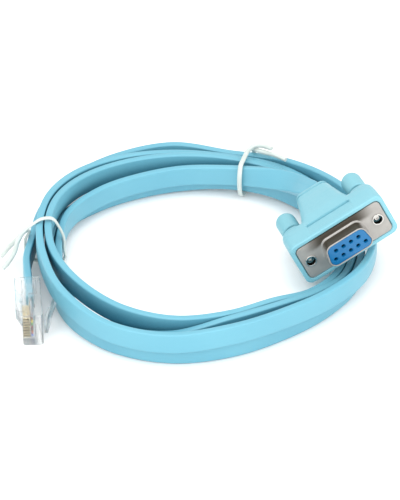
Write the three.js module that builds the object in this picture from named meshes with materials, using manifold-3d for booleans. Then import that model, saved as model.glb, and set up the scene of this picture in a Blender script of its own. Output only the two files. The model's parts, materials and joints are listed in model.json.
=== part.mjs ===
// A flat console cable, wound on edge into a loose loop and held by two twist ties.
// One end carries a moulded nine-way D connector with two thumbscrews, the other a clear modular plug.
// Millimetres, +Z up. The loop and the plug lie on z = 0.
import * as THREE from 'three';
import { mergeVertices } from 'three/addons/utils/BufferGeometryUtils.js';
import Module from 'manifold-3d';

const wasm = await Module();
wasm.setup();

// Clearances
const CLEARANCE = 0.3;
const OVERSHOOT = 1;
const ROUND_SIDES = 20;
const CORNER_STEPS = 4;

// Flat cable
const CABLE_WIDTH = 7;
const CABLE_THICKNESS = 2.4;
const CABLE_EDGE_DROP = 0.9;
const CABLE_EDGE_THICKNESS = 1.1;
// The run between the loop and the plug, and the last of it, already in line with the plug
const TAIL_RUN = 15;
const TAIL_STRAIGHT = 5;

// The ribbon's way round the loop, counter-clockwise from above and standing on edge.
// Each row holds the heading in degrees, the middle's distance from the loop's centre
// and the height of the lower edge.
const TURNS = [
  [80, 40.2, 4.8], [100, 40.4, 4.4], [120, 41.4, 4.0], [140, 43.8, 3.8], [160, 46.6, 3.0],
  [180, 46.8, 2.0], [200, 48.2, 0.8], [220, 52.35, 0.2], [240, 53.0, 0.0], [260, 52.6, 2.0],
  [280, 49.2, 5.4], [300, 47.0, 5.2], [320, 46.8, 2.6], [340, 48.3, 0.2], [360, 48.8, 0.0],
  [380, 48.8, 0.4], [400, 48.4, 1.4], [420, 48.0, 3.0], [440, 46.7, 4.6], [460, 46.8, 5.6],
  [480, 49.0, 5.6], [500, 50.2, 6.6], [520, 50.2, 8.3], [540, 50.0, 9.0], [560, 50.2, 8.4],
  [580, 49.9, 7.1], [600, 50.1, 5.9], [620, 49.6, 5.6], [640, 46.4, 5.4], [660, 43.6, 4.6],
  [680, 44.0, 1.4], [700, 45.6, 0.0], [720, 46.1, 0.0], [740, 46.0, 0.0], [760, 44.8, 0.6],
  [780, 43.8, 1.4], [800, 42.9, 1.4], [820, 42.9, 0.6], [840, 43.9, 0.2], [860, 46.3, 0.2],
  [880, 49.2, 0.8], [900, 49.6, 1.6], [920, 51.0, 0.6], [940, 54.8, 0.0], [960, 57.0, 0.0],
  [980, 56.2, 0.0], [1000, 52.7, 0.0], [1020, 49.8, 0.0], [1040, 49.6, 0.0], [1060, 51.0, 0.0],
  [1080, 51.5, 0.0], [1100, 51.5, 0.0], [1120, 51.1, 1.0], [1140, 50.8, 2.4], [1160, 49.5, 3.4],
  [1180, 50.2, 4.6], [1200, 52.2, 5.6], [1220, 53.4, 7.0], [1240, 53.2, 8.4], [1260, 52.8, 8.6],
  [1280, 53.9, 8.2], [1300, 57.6, 8.0], [1320, 59.8, 6.0], [1340, 59.0, 5.8], [1360, 55.5, 6.8],
  [1380, 52.7, 6.8], [1400, 52.8, 6.2], [1420, 54.6, 5.6], [1440, 55.2, 5.4], [1460, 54.6, 5.2],
  [1480, 53.8, 4.6], [1500, 53.6, 3.6], [1520, 52.6, 3.0], [1540, 57.8, 3.0], [1560, 57.8, 3.0],
  [1580, 57.0, 3.0], [1600, 55.8, 2.8], [1620, 55.6, 2.5],
];

// The ribbon between the connector's neck and the loop: along, across and up in the loop's frame
// for its middle, then how far its width leans outward from upright, in degrees.
const LEAD = [
  [33.0, 21.2, 15.2, 62], [30.8, 26.0, 13.2, 52], [27.0, 31.2, 11.2, 38], [20.8, 35.8, 9.6, 20],
  [13.9, 38.3, 8.7, 6],
];

// Nine-way connector: where its face stands in the loop's frame, and how it is turned
const FACE_AT = [45, -15.5, 19];
const FACE_YAW = 16.8;
const FACE_PITCH = 4;
const FACE_ROLL = 26.4;

const SCREW_SPACING = 25;
const FLANGE_END = 2.9;
const FLANGE_WIDTH = SCREW_SPACING + 2 * FLANGE_END;
const FLANGE_HEIGHT = 12.5;
const FLANGE_THICKNESS = 0.8;
const FLANGE_CORNER = 1;
const SKIRT_HALF_WIDE = 8.17;
const SKIRT_HALF_NARROW = 6.78;
const SKIRT_HALF_HEIGHT = 3.95;
const SKIRT_CORNER = 2.6;
const SKIRT_WALL = 0.5;
const SKIRT_REACH = 5.8;
const INSULATOR_REACH = SKIRT_REACH;
const INSULATOR_BACK = 5.5;
const CONTACT_PITCH = 2.77;
const CONTACT_ROW_SPACING = 2.84;
const UPPER_ROW = 4;
const LOWER_ROW = 5;
const CONTACT_RADIUS = 0.75;
const CONTACT_BORE = 0.5;
const CONTACT_MOUTH = 0.6;
const CONTACT_SETBACK = 1;
const CONTACT_SIDES = 12;

// Moulded hood: a block round the flange, a housing behind each screw and a spine that narrows
// to the neck. A draft is how far a side draws in by the depth that it is named for.
const HOOD_RIM = 1.75;
const HOOD_FACE_DEPTH = 12;
const HOOD_BACK_DRAFT_X = 0.6;
const HOOD_BACK_DRAFT_Y = 1.6;
const HOOD_SHOULDER_DEPTH = 7.2;
const HOOD_SHOULDER_DRAFT = 0.6;
const HOOD_CORNER = 0.32;
const HOOD_ROOT_DEPTH = 6;
const HOUSING_HALF_WIDTH = 4.7;
const HOUSING_HALF_HEIGHT = 5.2;
const HOUSING_DEPTH = 18;
const HOUSING_ROUND = 2;
const HOUSING_DRAFT = 0.35;
const HOUSING_END_DRAFT = 1;
const HOUSING_CORNER = 0.5;
const SPINE_HALF_WIDTH = 8.4;
const SPINE_HALF_HEIGHT = 7.2;
const SPINE_BACK_DRAFT = 1.1;
const NECK_DEPTH = 34.5;
const NECK_HALF_WIDTH = 4.6;
const NECK_HALF_HEIGHT = 2.7;
const NECK_ROUND = 1.6;
const NECK_ROUND_OUT = 0.9;
const NECK_COLLAR_LENGTH = 5;
const NECK_COLLAR_OUT = 1.6;
const LABEL_HALF_WIDTH = 8;
const LABEL_FRONT = 2.6;
const LABEL_BACK = 7;
const LABEL_RELIEF = 0.4;
const CABLE_POCKET = 5;

// Thumbscrews and eyelets
const SCREW_RADIUS = 1.1;
const SCREW_TIP_RADIUS = 0.6;
const SCREW_TIP_LENGTH = 1.2;
const SCREW_SETBACK = 0.9;
const SCREW_IN_KNOB = 5;
const KNOB_RADIUS = 3.3;
const KNOB_LENGTH = 8.6;
const KNOB_ROUND = 1.8;
const EYELET_BORE = 1.5;
const EYELET_WALL = 0.3;
const EYELET_LIP = 0.4;
const EYELET_PROUD = 0.35;
const EYELET_BACK = 2.5;

// Modular plug: the middle of its rear at floor level, and its turn about the vertical
const PLUG_AT = [-55.4, -25.2];
const PLUG_YAW = 5;
const PLUG_LENGTH = 21.5;
const PLUG_WIDTH = 11.68;
const PLUG_LATCH_SIDE = 3.6;
const PLUG_REAR_SIDE = -4.6;
const PLUG_NOSE_SIDE = -2.8;
const PLUG_SHOULDER_START = 6.5;
const PLUG_SHOULDER_END = 11.5;
const PLUG_NOSE_CHAMFER = 0.6;
const JACKET_DEPTH = 8.6;
const JACKET_ENTRY_DEPTH = 8.9;
const CHANNEL_END = 18.8;
const CHANNEL_HALF_HEIGHT = 4.6;
const CHANNEL_HALF_THICKNESS = 0.8;
const BAR_START = 9.2;
const BAR_END = 11.2;
const BAR_HALF_HEIGHT = 3;
const BAR_FLOOR = -2.2;
const CONDUCTOR_RADIUS = 0.36;
const CONDUCTOR_LIFT = 0.2;
const CONDUCTOR_SIDES = 8;
const BLADE_PITCH = 1.02;
const BLADE_THICKNESS = 0.3;
const BLADE_SLOT = 0.66;
const BLADE_START = 13.9;
const BLADE_END = 19.6;
const BLADE_SETBACK = 0.25;
const CONDUCTOR_COLOURS = {
  blue: 0x2f62c8,
  orange: 0xd9762a,
  black: 0x2a2a2c,
  red: 0xb02a30,
  green: 0x2f9a50,
  yellow: 0xe0c63a,
  brown: 0x7a4a2c,
  slate: 0x8a9098,
};

// Plug latch
const LATCH_ROOT = 19.4;
const LATCH_LENGTH = 14.2;
const LATCH_THICKNESS = 1.1;
const LATCH_ANGLE = 14.5;
const LATCH_SHOULDER = 6.2;
const LATCH_SHOULDER_HALF = 3;
const LATCH_TAIL_HALF = 1.6;

// Twist ties
const WIRE_DIAMETER = 1.2;
const WIRE_STEPS = 56;
const WIRE_SIDES = 8;
const REAR_TIE_HEADING = 75;
const LEFT_TIE_HEADING = 180;
// Distance from the loop's centre, shift along the ribbon and height, from one tail to the other
const REAR_TIE = [
  [49.0, -12.6, 12.6], [50.4, -8.0, 12.7], [51.4, -4.2, 12.4], [52.2, -1.2, 12.2], [54.2, 0.3, 11.0],
  [55.1, 0.6, 8.6], [55.1, 0.6, 4.4], [53.8, 0.5, 1.7], [49.6, 0.2, 0.9], [42.6, 0, 0.65],
  [39.4, 0, 1.9], [38.0, 0, 5.4], [38.0, 0, 11.0], [39.4, 0.2, 13.0], [43.4, 0.6, 13.1],
  [47.0, 1.0, 12.7], [50.0, 0.9, 12.9], [51.8, -0.6, 13.9], [52.2, -4.0, 14.2], [51.0, -7.0, 14.6],
];
const LEFT_TIE = [
  [65.6, -1.2, 1.5], [63.3, -0.6, 5.2], [60.0, -0.2, 9.2], [57.9, -0.6, 11.6], [56.4, -0.8, 11.6],
  [57.6, -0.4, 8.6], [57.7, 0, 5.4], [57.0, 0, 1.7], [54.4, 0, 0.75], [50.0, 0, 0.7],
  [45.8, 0, 0.7], [43.7, 0, 2.0], [43.6, 0, 5.6], [43.9, 0, 9.8], [45.6, 0, 14.2],
  [48.8, 0, 17.0], [52.2, 0.2, 16.9], [55.1, 0.8, 15.2], [57.6, 1.6, 13.2], [59.6, 2.6, 10.6],
  [61.2, 4.2, 6.2], [63.4, 5.4, 3.0], [64.8, 6.0, 1.5],
];

const radians = THREE.MathUtils.degToRad;

function material(color, roughness, metalness, opacity = 1) {
  return new THREE.MeshStandardMaterial({
    color, roughness, metalness, opacity, transparent: opacity < 1,
  });
}

const paint = {
  cable: () => material(0x86cfe6, 0.45, 0),
  hood: () => material(0x9fdcf0, 0.45, 0),
  insulator: () => material(0x1c78c4, 0.4, 0),
  steel: () => material(0xb8b2aa, 0.3, 1),
  gold: () => material(0xc9a24a, 0.3, 1),
  clear: () => material(0xe8f0f0, 0.12, 0, 0.35),
  wire: () => material(0xe4ece6, 0.5, 0),
};

function solidFrom(geometry) {
  const bare = geometry.clone();
  bare.deleteAttribute('normal');
  bare.deleteAttribute('uv');
  const merged = mergeVertices(bare);
  return new wasm.Manifold(new wasm.Mesh({
    numProp: 3,
    vertProperties: new Float32Array(merged.attributes.position.array),
    triVerts: new Uint32Array(merged.index.array),
  }));
}

function geometryFrom(solid) {
  const mesh = solid.getMesh();
  const geometry = new THREE.BufferGeometry();
  geometry.setAttribute('position', new THREE.BufferAttribute(mesh.vertProperties, 3));
  geometry.setIndex(new THREE.BufferAttribute(mesh.triVerts, 1));
  geometry.computeVertexNormals();
  return geometry;
}

function carve(body, added, removed) {
  let solid = solidFrom(body);
  added.forEach((geometry) => {
    solid = solid.add(solidFrom(geometry));
  });
  removed.forEach((geometry) => {
    solid = solid.subtract(solidFrom(geometry));
  });
  return geometryFrom(solid);
}

function piece(name, geometry, finish) {
  const mesh = new THREE.Mesh(geometry, finish);
  mesh.name = name;
  return mesh;
}

// A closed outline through corner points, each corner rounded.
function roundedOutline(corners, radius) {
  const shape = new THREE.Shape();
  corners.forEach((corner, i) => {
    const before = corners[(i + corners.length - 1) % corners.length];
    const after = corners[(i + 1) % corners.length];
    const arrive = corner.clone().lerp(before, radius / corner.distanceTo(before));
    const leave = corner.clone().lerp(after, radius / corner.distanceTo(after));
    if (i === 0) {
      shape.moveTo(arrive.x, arrive.y);
    } else {
      shape.lineTo(arrive.x, arrive.y);
    }
    shape.quadraticCurveTo(corner.x, corner.y, leave.x, leave.y);
  });
  shape.closePath();
  return shape;
}

function rectangle(halfX, halfY, radius) {
  return roundedOutline([
    new THREE.Vector2(-halfX, -halfY),
    new THREE.Vector2(halfX, -halfY),
    new THREE.Vector2(halfX, halfY),
    new THREE.Vector2(-halfX, halfY),
  ], radius);
}

// An outline drawn up from one depth to another.
function prism(shape, from, to, curveSegments = CORNER_STEPS) {
  const geometry = new THREE.ExtrudeGeometry(shape, {
    depth: to - from, steps: 1, bevelEnabled: false, curveSegments,
  });
  return geometry.translate(0, 0, from);
}

function block(x, y, z) {
  const geometry = new THREE.BoxGeometry(x[1] - x[0], y[1] - y[0], z[1] - z[0]);
  return geometry.translate((x[0] + x[1]) / 2, (y[0] + y[1]) / 2, (z[0] + z[1]) / 2);
}

function rod(radius, from, to, x, y, sides = ROUND_SIDES) {
  const geometry = new THREE.CylinderGeometry(radius, radius, to - from, sides);
  return geometry.rotateX(Math.PI / 2).translate(x, y, (from + to) / 2);
}

// A turned piece about the Z axis, from radius and height pairs.
function turned(profile, sides = ROUND_SIDES) {
  const geometry = new THREE.LatheGeometry(profile.map(([r, z]) => new THREE.Vector2(r, z)), sides);
  return geometry.rotateX(Math.PI / 2);
}

// A rounded bar whose half width and half height change with its depth.
function tapered(stations, corner) {
  const steps = stations.length - 1;
  const geometry = new THREE.ExtrudeGeometry(rectangle(1, 1, corner), {
    depth: steps, steps, bevelEnabled: false, curveSegments: CORNER_STEPS - 1,
  });
  const position = geometry.attributes.position;
  for (let i = 0; i < position.count; i += 1) {
    const [depth, halfX, halfY] = stations[Math.round(position.getZ(i))];
    position.setXYZ(i, position.getX(i) * halfX, position.getY(i) * halfY, depth);
  }
  return geometry;
}

// A path of chosen stations, each with its own outward and width directions.
class RibbonPath extends THREE.Curve {
  constructor(stations) {
    super();
    this.stations = stations;
  }

  getPoint(t, target = new THREE.Vector3()) {
    return target.copy(this.stations[Math.round(t * (this.stations.length - 1))].middle);
  }

  getSpacedPoints() {
    return this.stations.map((station) => station.middle.clone());
  }

  computeFrenetFrames() {
    const normals = this.stations.map((station) => station.outward.clone());
    const binormals = this.stations.map((station) => station.width.clone().negate());
    const tangents = normals.map((normal, i) => normal.clone().cross(binormals[i]));
    return { tangents, normals, binormals };
  }
}

function station(middle, outward, width) {
  return { middle, outward, width };
}

const UP = new THREE.Vector3(0, 0, 1);

function outwardAt(degrees) {
  return new THREE.Vector3(Math.cos(radians(degrees)), Math.sin(radians(degrees)), 0);
}

// A station whose width leans outward from upright about the ribbon's own direction.
function leaning(middle, outward, degrees) {
  const lean = radians(degrees);
  const width = UP.clone().multiplyScalar(Math.cos(lean)).addScaledVector(outward, Math.sin(lean));
  const face = outward.clone().multiplyScalar(Math.cos(lean)).addScaledVector(UP, -Math.sin(lean));
  return station(middle, face, width);
}

// The connector's own frame: X along its face, Y up its face, Z out of its mouth.
const connector = new THREE.Group();
connector.position.set(...FACE_AT);
connector.rotation.set(radians(-FACE_PITCH), radians(-FACE_ROLL), radians(FACE_YAW), 'ZXY');
const connectorInner = new THREE.Group();
connectorInner.rotation.x = Math.PI / 2;
connector.add(connectorInner);

// The plug's own frame: X towards its latch, Y up, Z from the rear to the nose.
const plug = new THREE.Group();
plug.position.set(PLUG_AT[0], PLUG_AT[1], PLUG_WIDTH / 2);
plug.rotation.z = radians(PLUG_YAW);
const plugInner = new THREE.Group();
plugInner.rotation.x = Math.PI / 2;
plug.add(plugInner);
connector.updateMatrixWorld(true);
plug.updateMatrixWorld(true);

function connectorPoint(x, y, z) {
  return connectorInner.localToWorld(new THREE.Vector3(x, y, z));
}

function plugPoint(x, y, z) {
  return plugInner.localToWorld(new THREE.Vector3(x, y, z));
}

function direction(from, to) {
  return to.clone().sub(from).normalize();
}

// Stations from inside the neck, round the loop, to the jacket's end inside the plug
function cableStations() {
  const faceX = direction(connectorPoint(0, 0, 0), connectorPoint(1, 0, 0));
  const faceDown = direction(connectorPoint(0, 1, 0), connectorPoint(0, 0, 0));
  const pocketFloor = -(NECK_DEPTH - CABLE_POCKET);
  const neck = [pocketFloor - CLEARANCE, -NECK_DEPTH - CLEARANCE].map(
    (depth) => station(connectorPoint(0, 0, depth), faceDown, faceX),
  );
  const lead = LEAD.map(([x, y, z, lean]) => {
    const middle = new THREE.Vector3(x, y, z);
    return leaning(middle, new THREE.Vector3(x, y, 0).normalize(), lean);
  });
  const turns = TURNS.map(([heading, radius, low]) => {
    const outward = outwardAt(heading);
    const middle = outward.clone().multiplyScalar(radius).setZ(low + CABLE_WIDTH / 2);
    return station(middle, outward, UP);
  });
  const plugOut = direction(plugPoint(1, 0, 0), plugPoint(0, 0, 0));
  const entry = [-TAIL_RUN, -TAIL_STRAIGHT, JACKET_DEPTH].map(
    (depth) => station(plugPoint(0, 0, depth), plugOut, UP),
  );
  return [...neck, ...lead, ...turns, ...entry];
}

function cableSection() {
  const halfThick = CABLE_THICKNESS / 2;
  const halfWide = CABLE_WIDTH / 2;
  const shoulder = halfWide - CABLE_EDGE_DROP;
  const crest = CABLE_EDGE_THICKNESS / 2;
  return new THREE.Shape([
    new THREE.Vector2(-halfThick, -shoulder),
    new THREE.Vector2(-crest, -halfWide),
    new THREE.Vector2(crest, -halfWide),
    new THREE.Vector2(halfThick, -shoulder),
    new THREE.Vector2(halfThick, shoulder),
    new THREE.Vector2(crest, halfWide),
    new THREE.Vector2(-crest, halfWide),
    new THREE.Vector2(-halfThick, shoulder),
  ]);
}

function flatCable() {
  const stations = cableStations();
  const geometry = new THREE.ExtrudeGeometry(cableSection(), {
    steps: stations.length - 1, extrudePath: new RibbonPath(stations), bevelEnabled: false,
  });
  return piece('flat_cable', geometry, paint.cable());
}

function twistTie(name, heading, points) {
  const outward = outwardAt(heading);
  const along = UP.clone().cross(outward);
  const path = new THREE.CatmullRomCurve3(points.map(([radius, shift, height]) => (
    outward.clone().multiplyScalar(radius).addScaledVector(along, shift).setZ(height)
  )));
  const round = new THREE.Shape();
  round.absarc(0, 0, WIRE_DIAMETER / 2, 0, Math.PI * 2);
  const geometry = new THREE.ExtrudeGeometry(round, {
    steps: WIRE_STEPS, extrudePath: path, bevelEnabled: false, curveSegments: WIRE_SIDES,
  });
  return piece(name, geometry, paint.wire());
}

// The shell's outline, wide side down, drawn in by an inset.
function skirtOutline(inset) {
  const halfHeight = SKIRT_HALF_HEIGHT - inset;
  return roundedOutline([
    new THREE.Vector2(-(SKIRT_HALF_WIDE - inset), -halfHeight),
    new THREE.Vector2(SKIRT_HALF_WIDE - inset, -halfHeight),
    new THREE.Vector2(SKIRT_HALF_NARROW - inset, halfHeight),
    new THREE.Vector2(-(SKIRT_HALF_NARROW - inset), halfHeight),
  ], SKIRT_CORNER - inset);
}

const SCREW_SIDES = [['left', -SCREW_SPACING / 2], ['right', SCREW_SPACING / 2]];
const INSULATOR_INSET = SKIRT_WALL + CLEARANCE;
const EYELET_SEAT = EYELET_BORE + EYELET_WALL + CLEARANCE;

function frontShell() {
  const flange = rectangle(FLANGE_WIDTH / 2, FLANGE_HEIGHT / 2, FLANGE_CORNER);
  const mouth = prism(skirtOutline(SKIRT_WALL), -FLANGE_THICKNESS - OVERSHOOT, SKIRT_REACH + OVERSHOOT);
  const holes = SCREW_SIDES.map(([, x]) => (
    rod(EYELET_SEAT, -FLANGE_THICKNESS - OVERSHOOT, OVERSHOOT, x, 0)
  ));
  const geometry = carve(
    prism(flange, -FLANGE_THICKNESS, 0),
    [prism(skirtOutline(0), -FLANGE_THICKNESS, SKIRT_REACH)],
    [mouth, ...holes],
  );
  return piece('front_shell', geometry, paint.steel());
}

// Places of the nine contacts: four over five
function contactPlaces() {
  const rows = [[UPPER_ROW, CONTACT_ROW_SPACING / 2], [LOWER_ROW, -CONTACT_ROW_SPACING / 2]];
  return rows.flatMap(([count, y]) => (
    Array.from({ length: count }, (_, i) => [(i - (count - 1) / 2) * CONTACT_PITCH, y])
  ));
}

function insulator() {
  const chamberTop = INSULATOR_REACH - CONTACT_SETBACK;
  const holes = contactPlaces().flatMap(([x, y]) => [
    rod(CONTACT_MOUTH, chamberTop - OVERSHOOT, INSULATOR_REACH + OVERSHOOT, x, y, CONTACT_SIDES),
    rod(CONTACT_RADIUS + CLEARANCE, -INSULATOR_BACK - OVERSHOOT, chamberTop, x, y, CONTACT_SIDES),
  ]);
  const body = prism(skirtOutline(INSULATOR_INSET), -INSULATOR_BACK, INSULATOR_REACH);
  return piece('insulator', carve(body, [], holes), paint.insulator());
}

function socketContacts() {
  const front = INSULATOR_REACH - CONTACT_SETBACK - CLEARANCE;
  return contactPlaces().map(([x, y], i) => {
    const tube = turned([
      [CONTACT_BORE, -INSULATOR_BACK + CLEARANCE],
      [CONTACT_RADIUS, -INSULATOR_BACK + CLEARANCE],
      [CONTACT_RADIUS, front],
      [CONTACT_BORE, front],
      [CONTACT_BORE, -INSULATOR_BACK + CLEARANCE],
    ], CONTACT_SIDES);
    return piece(`socket_contact_${i + 1}`, tube.translate(x, y, 0), paint.gold());
  });
}

// The hood's half width and half height where it grips the flange
const HOOD_HALF_WIDTH = FLANGE_WIDTH / 2 + HOOD_RIM;
const HOOD_HALF_HEIGHT = FLANGE_HEIGHT / 2 + HOOD_RIM;

function hood() {
  const face = tapered([
    [-HOOD_FACE_DEPTH, HOOD_HALF_WIDTH - HOOD_BACK_DRAFT_X, HOOD_HALF_HEIGHT - HOOD_BACK_DRAFT_Y],
    [-HOOD_SHOULDER_DEPTH, HOOD_HALF_WIDTH, HOOD_HALF_HEIGHT - HOOD_SHOULDER_DRAFT],
    [0, HOOD_HALF_WIDTH, HOOD_HALF_HEIGHT],
  ], HOOD_CORNER);
  const housings = SCREW_SIDES.map(([, x]) => tapered([
    [-HOUSING_DEPTH, HOUSING_HALF_WIDTH - HOUSING_END_DRAFT, HOUSING_HALF_HEIGHT - HOUSING_END_DRAFT],
    [-HOUSING_DEPTH + HOUSING_ROUND, HOUSING_HALF_WIDTH - HOUSING_DRAFT, HOUSING_HALF_HEIGHT - HOUSING_DRAFT],
    [-HOOD_ROOT_DEPTH, HOUSING_HALF_WIDTH, HOUSING_HALF_HEIGHT],
  ], HOUSING_CORNER).translate(x, 0, 0));
  const spine = tapered([
    [-NECK_DEPTH, NECK_HALF_WIDTH, NECK_HALF_HEIGHT],
    [-NECK_DEPTH + NECK_ROUND, NECK_HALF_WIDTH + NECK_ROUND_OUT, NECK_HALF_HEIGHT + NECK_ROUND_OUT],
    [-NECK_DEPTH + NECK_COLLAR_LENGTH, NECK_HALF_WIDTH + NECK_COLLAR_OUT, NECK_HALF_HEIGHT + NECK_COLLAR_OUT],
    [-HOUSING_DEPTH, SPINE_HALF_WIDTH - SPINE_BACK_DRAFT, SPINE_HALF_HEIGHT - SPINE_BACK_DRAFT],
    [-HOOD_ROOT_DEPTH, SPINE_HALF_WIDTH, SPINE_HALF_HEIGHT],
  ], HOOD_CORNER);
  const flangePocket = block(
    [-FLANGE_WIDTH / 2 - CLEARANCE, FLANGE_WIDTH / 2 + CLEARANCE],
    [-FLANGE_HEIGHT / 2 - CLEARANCE, FLANGE_HEIGHT / 2 + CLEARANCE],
    [-FLANGE_THICKNESS - CLEARANCE, OVERSHOOT],
  );
  const insulatorPocket = prism(skirtOutline(SKIRT_WALL), -INSULATOR_BACK - CLEARANCE, OVERSHOOT);
  const screwBores = SCREW_SIDES.flatMap(([, x]) => [
    rod(SCREW_RADIUS + CLEARANCE, -HOUSING_DEPTH - OVERSHOOT, OVERSHOOT, x, 0),
    rod(EYELET_SEAT, -EYELET_BACK - CLEARANCE, OVERSHOOT, x, 0),
  ]);
  const cablePocket = block(
    [-CABLE_WIDTH / 2 - CLEARANCE, CABLE_WIDTH / 2 + CLEARANCE],
    [-CABLE_THICKNESS / 2 - CLEARANCE, CABLE_THICKNESS / 2 + CLEARANCE],
    [-NECK_DEPTH - OVERSHOOT, -NECK_DEPTH + CABLE_POCKET],
  );
  const label = block(
    [-LABEL_HALF_WIDTH, LABEL_HALF_WIDTH],
    [-LABEL_RELIEF, OVERSHOOT],
    [-LABEL_BACK, -LABEL_FRONT],
  );
  label.rotateX(-Math.atan2(HOOD_SHOULDER_DRAFT, HOOD_SHOULDER_DEPTH)).translate(0, HOOD_HALF_HEIGHT, 0);
  const geometry = carve(
    face,
    [...housings, spine],
    [flangePocket, insulatorPocket, ...screwBores, cablePocket, label],
  );
  return piece('connector_hood', geometry, paint.hood());
}

// A turned ring through the flange's hole, with a lip on the face
function eyelet(side, x) {
  const ring = turned([
    [EYELET_BORE, -EYELET_BACK],
    [EYELET_BORE + EYELET_WALL, -EYELET_BACK],
    [EYELET_BORE + EYELET_WALL, CLEARANCE / 2],
    [EYELET_BORE + EYELET_WALL + EYELET_LIP, CLEARANCE / 2],
    [EYELET_BORE + EYELET_WALL + EYELET_LIP, EYELET_PROUD],
    [EYELET_BORE, EYELET_PROUD],
    [EYELET_BORE, -EYELET_BACK],
  ]);
  return piece(`${side}_eyelet`, ring.translate(x, 0, 0), paint.steel());
}

const KNOB_FRONT = -HOUSING_DEPTH - CLEARANCE;
const KNOB_BACK = KNOB_FRONT - KNOB_LENGTH;

function thumbscrewKnob(side, x) {
  const halfway = KNOB_ROUND * (1 - Math.SQRT1_2);
  const knob = turned([
    [0, KNOB_BACK],
    [KNOB_RADIUS - KNOB_ROUND, KNOB_BACK],
    [KNOB_RADIUS - halfway, KNOB_BACK + halfway],
    [KNOB_RADIUS, KNOB_BACK + KNOB_ROUND],
    [KNOB_RADIUS, KNOB_FRONT],
    [SCREW_RADIUS + CLEARANCE, KNOB_FRONT],
    [SCREW_RADIUS + CLEARANCE, KNOB_FRONT - SCREW_IN_KNOB - CLEARANCE],
    [0, KNOB_FRONT - SCREW_IN_KNOB - CLEARANCE],
  ]);
  return piece(`${side}_thumbscrew_knob`, knob.translate(x, 0, 0), paint.hood());
}

function thumbscrewShaft(side, x) {
  const tip = -SCREW_SETBACK;
  const shaft = turned([
    [0, KNOB_FRONT - SCREW_IN_KNOB],
    [SCREW_RADIUS, KNOB_FRONT - SCREW_IN_KNOB],
    [SCREW_RADIUS, tip - SCREW_TIP_LENGTH],
    [SCREW_TIP_RADIUS, tip],
    [0, tip],
  ]);
  return piece(`${side}_thumbscrew_shaft`, shaft.translate(x, 0, 0), paint.steel());
}

// Heights of the eight contact blades and their conductors, from the bottom up
const BLADE_COUNT = Object.keys(CONDUCTOR_COLOURS).length;
const bladeHeight = (i) => (i - (BLADE_COUNT - 1) / 2) * BLADE_PITCH;

// The body's outline from its rear to its nose, drawn across its full width
function plugBody() {
  const side = new THREE.Shape([
    new THREE.Vector2(PLUG_REAR_SIDE, 0),
    new THREE.Vector2(PLUG_LATCH_SIDE, 0),
    new THREE.Vector2(PLUG_LATCH_SIDE, PLUG_LENGTH - PLUG_NOSE_CHAMFER),
    new THREE.Vector2(PLUG_LATCH_SIDE - PLUG_NOSE_CHAMFER, PLUG_LENGTH),
    new THREE.Vector2(PLUG_NOSE_SIDE + PLUG_NOSE_CHAMFER, PLUG_LENGTH),
    new THREE.Vector2(PLUG_NOSE_SIDE, PLUG_LENGTH - PLUG_NOSE_CHAMFER),
    new THREE.Vector2(PLUG_NOSE_SIDE, PLUG_SHOULDER_END),
    new THREE.Vector2(PLUG_REAR_SIDE, PLUG_SHOULDER_START),
  ]);
  const body = prism(side, -PLUG_WIDTH / 2, PLUG_WIDTH / 2).rotateX(Math.PI / 2);
  const jacketPocket = block(
    [-CABLE_THICKNESS / 2 - CLEARANCE, CABLE_THICKNESS / 2 + CLEARANCE],
    [-CABLE_WIDTH / 2 - CLEARANCE, CABLE_WIDTH / 2 + CLEARANCE],
    [-OVERSHOOT, JACKET_ENTRY_DEPTH],
  );
  const channel = block(
    [CONDUCTOR_LIFT - CHANNEL_HALF_THICKNESS, CONDUCTOR_LIFT + CHANNEL_HALF_THICKNESS],
    [-CHANNEL_HALF_HEIGHT, CHANNEL_HALF_HEIGHT],
    [JACKET_ENTRY_DEPTH - OVERSHOOT, CHANNEL_END],
  );
  const bar = block(
    [PLUG_REAR_SIDE - OVERSHOOT, BAR_FLOOR],
    [-BAR_HALF_HEIGHT, BAR_HALF_HEIGHT],
    [BAR_START, BAR_END],
  );
  const slots = Array.from({ length: BLADE_COUNT }, (_, i) => block(
    [PLUG_REAR_SIDE - OVERSHOOT, CONDUCTOR_LIFT - CHANNEL_HALF_THICKNESS + CLEARANCE],
    [bladeHeight(i) - BLADE_SLOT / 2, bladeHeight(i) + BLADE_SLOT / 2],
    [BLADE_START - CLEARANCE, BLADE_END + CLEARANCE],
  ));
  return piece('plug_body', carve(body, [], [jacketPocket, channel, bar, ...slots]), paint.clear());
}

function contactBlades() {
  const foot = CONDUCTOR_LIFT - CONDUCTOR_RADIUS - CLEARANCE;
  return Array.from({ length: BLADE_COUNT }, (_, i) => piece(
    `contact_blade_${i + 1}`,
    block(
      [PLUG_NOSE_SIDE + BLADE_SETBACK, foot],
      [bladeHeight(i) - BLADE_THICKNESS / 2, bladeHeight(i) + BLADE_THICKNESS / 2],
      [BLADE_START, BLADE_END],
    ),
    paint.gold(),
  ));
}

function conductors() {
  return Object.entries(CONDUCTOR_COLOURS).map(([colour, tint], i) => piece(
    `conductor_${colour}`,
    rod(
      CONDUCTOR_RADIUS, JACKET_DEPTH + CLEARANCE, CHANNEL_END - CLEARANCE,
      CONDUCTOR_LIFT, bladeHeight(i), CONDUCTOR_SIDES,
    ),
    material(tint, 0.5, 0),
  ));
}

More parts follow.
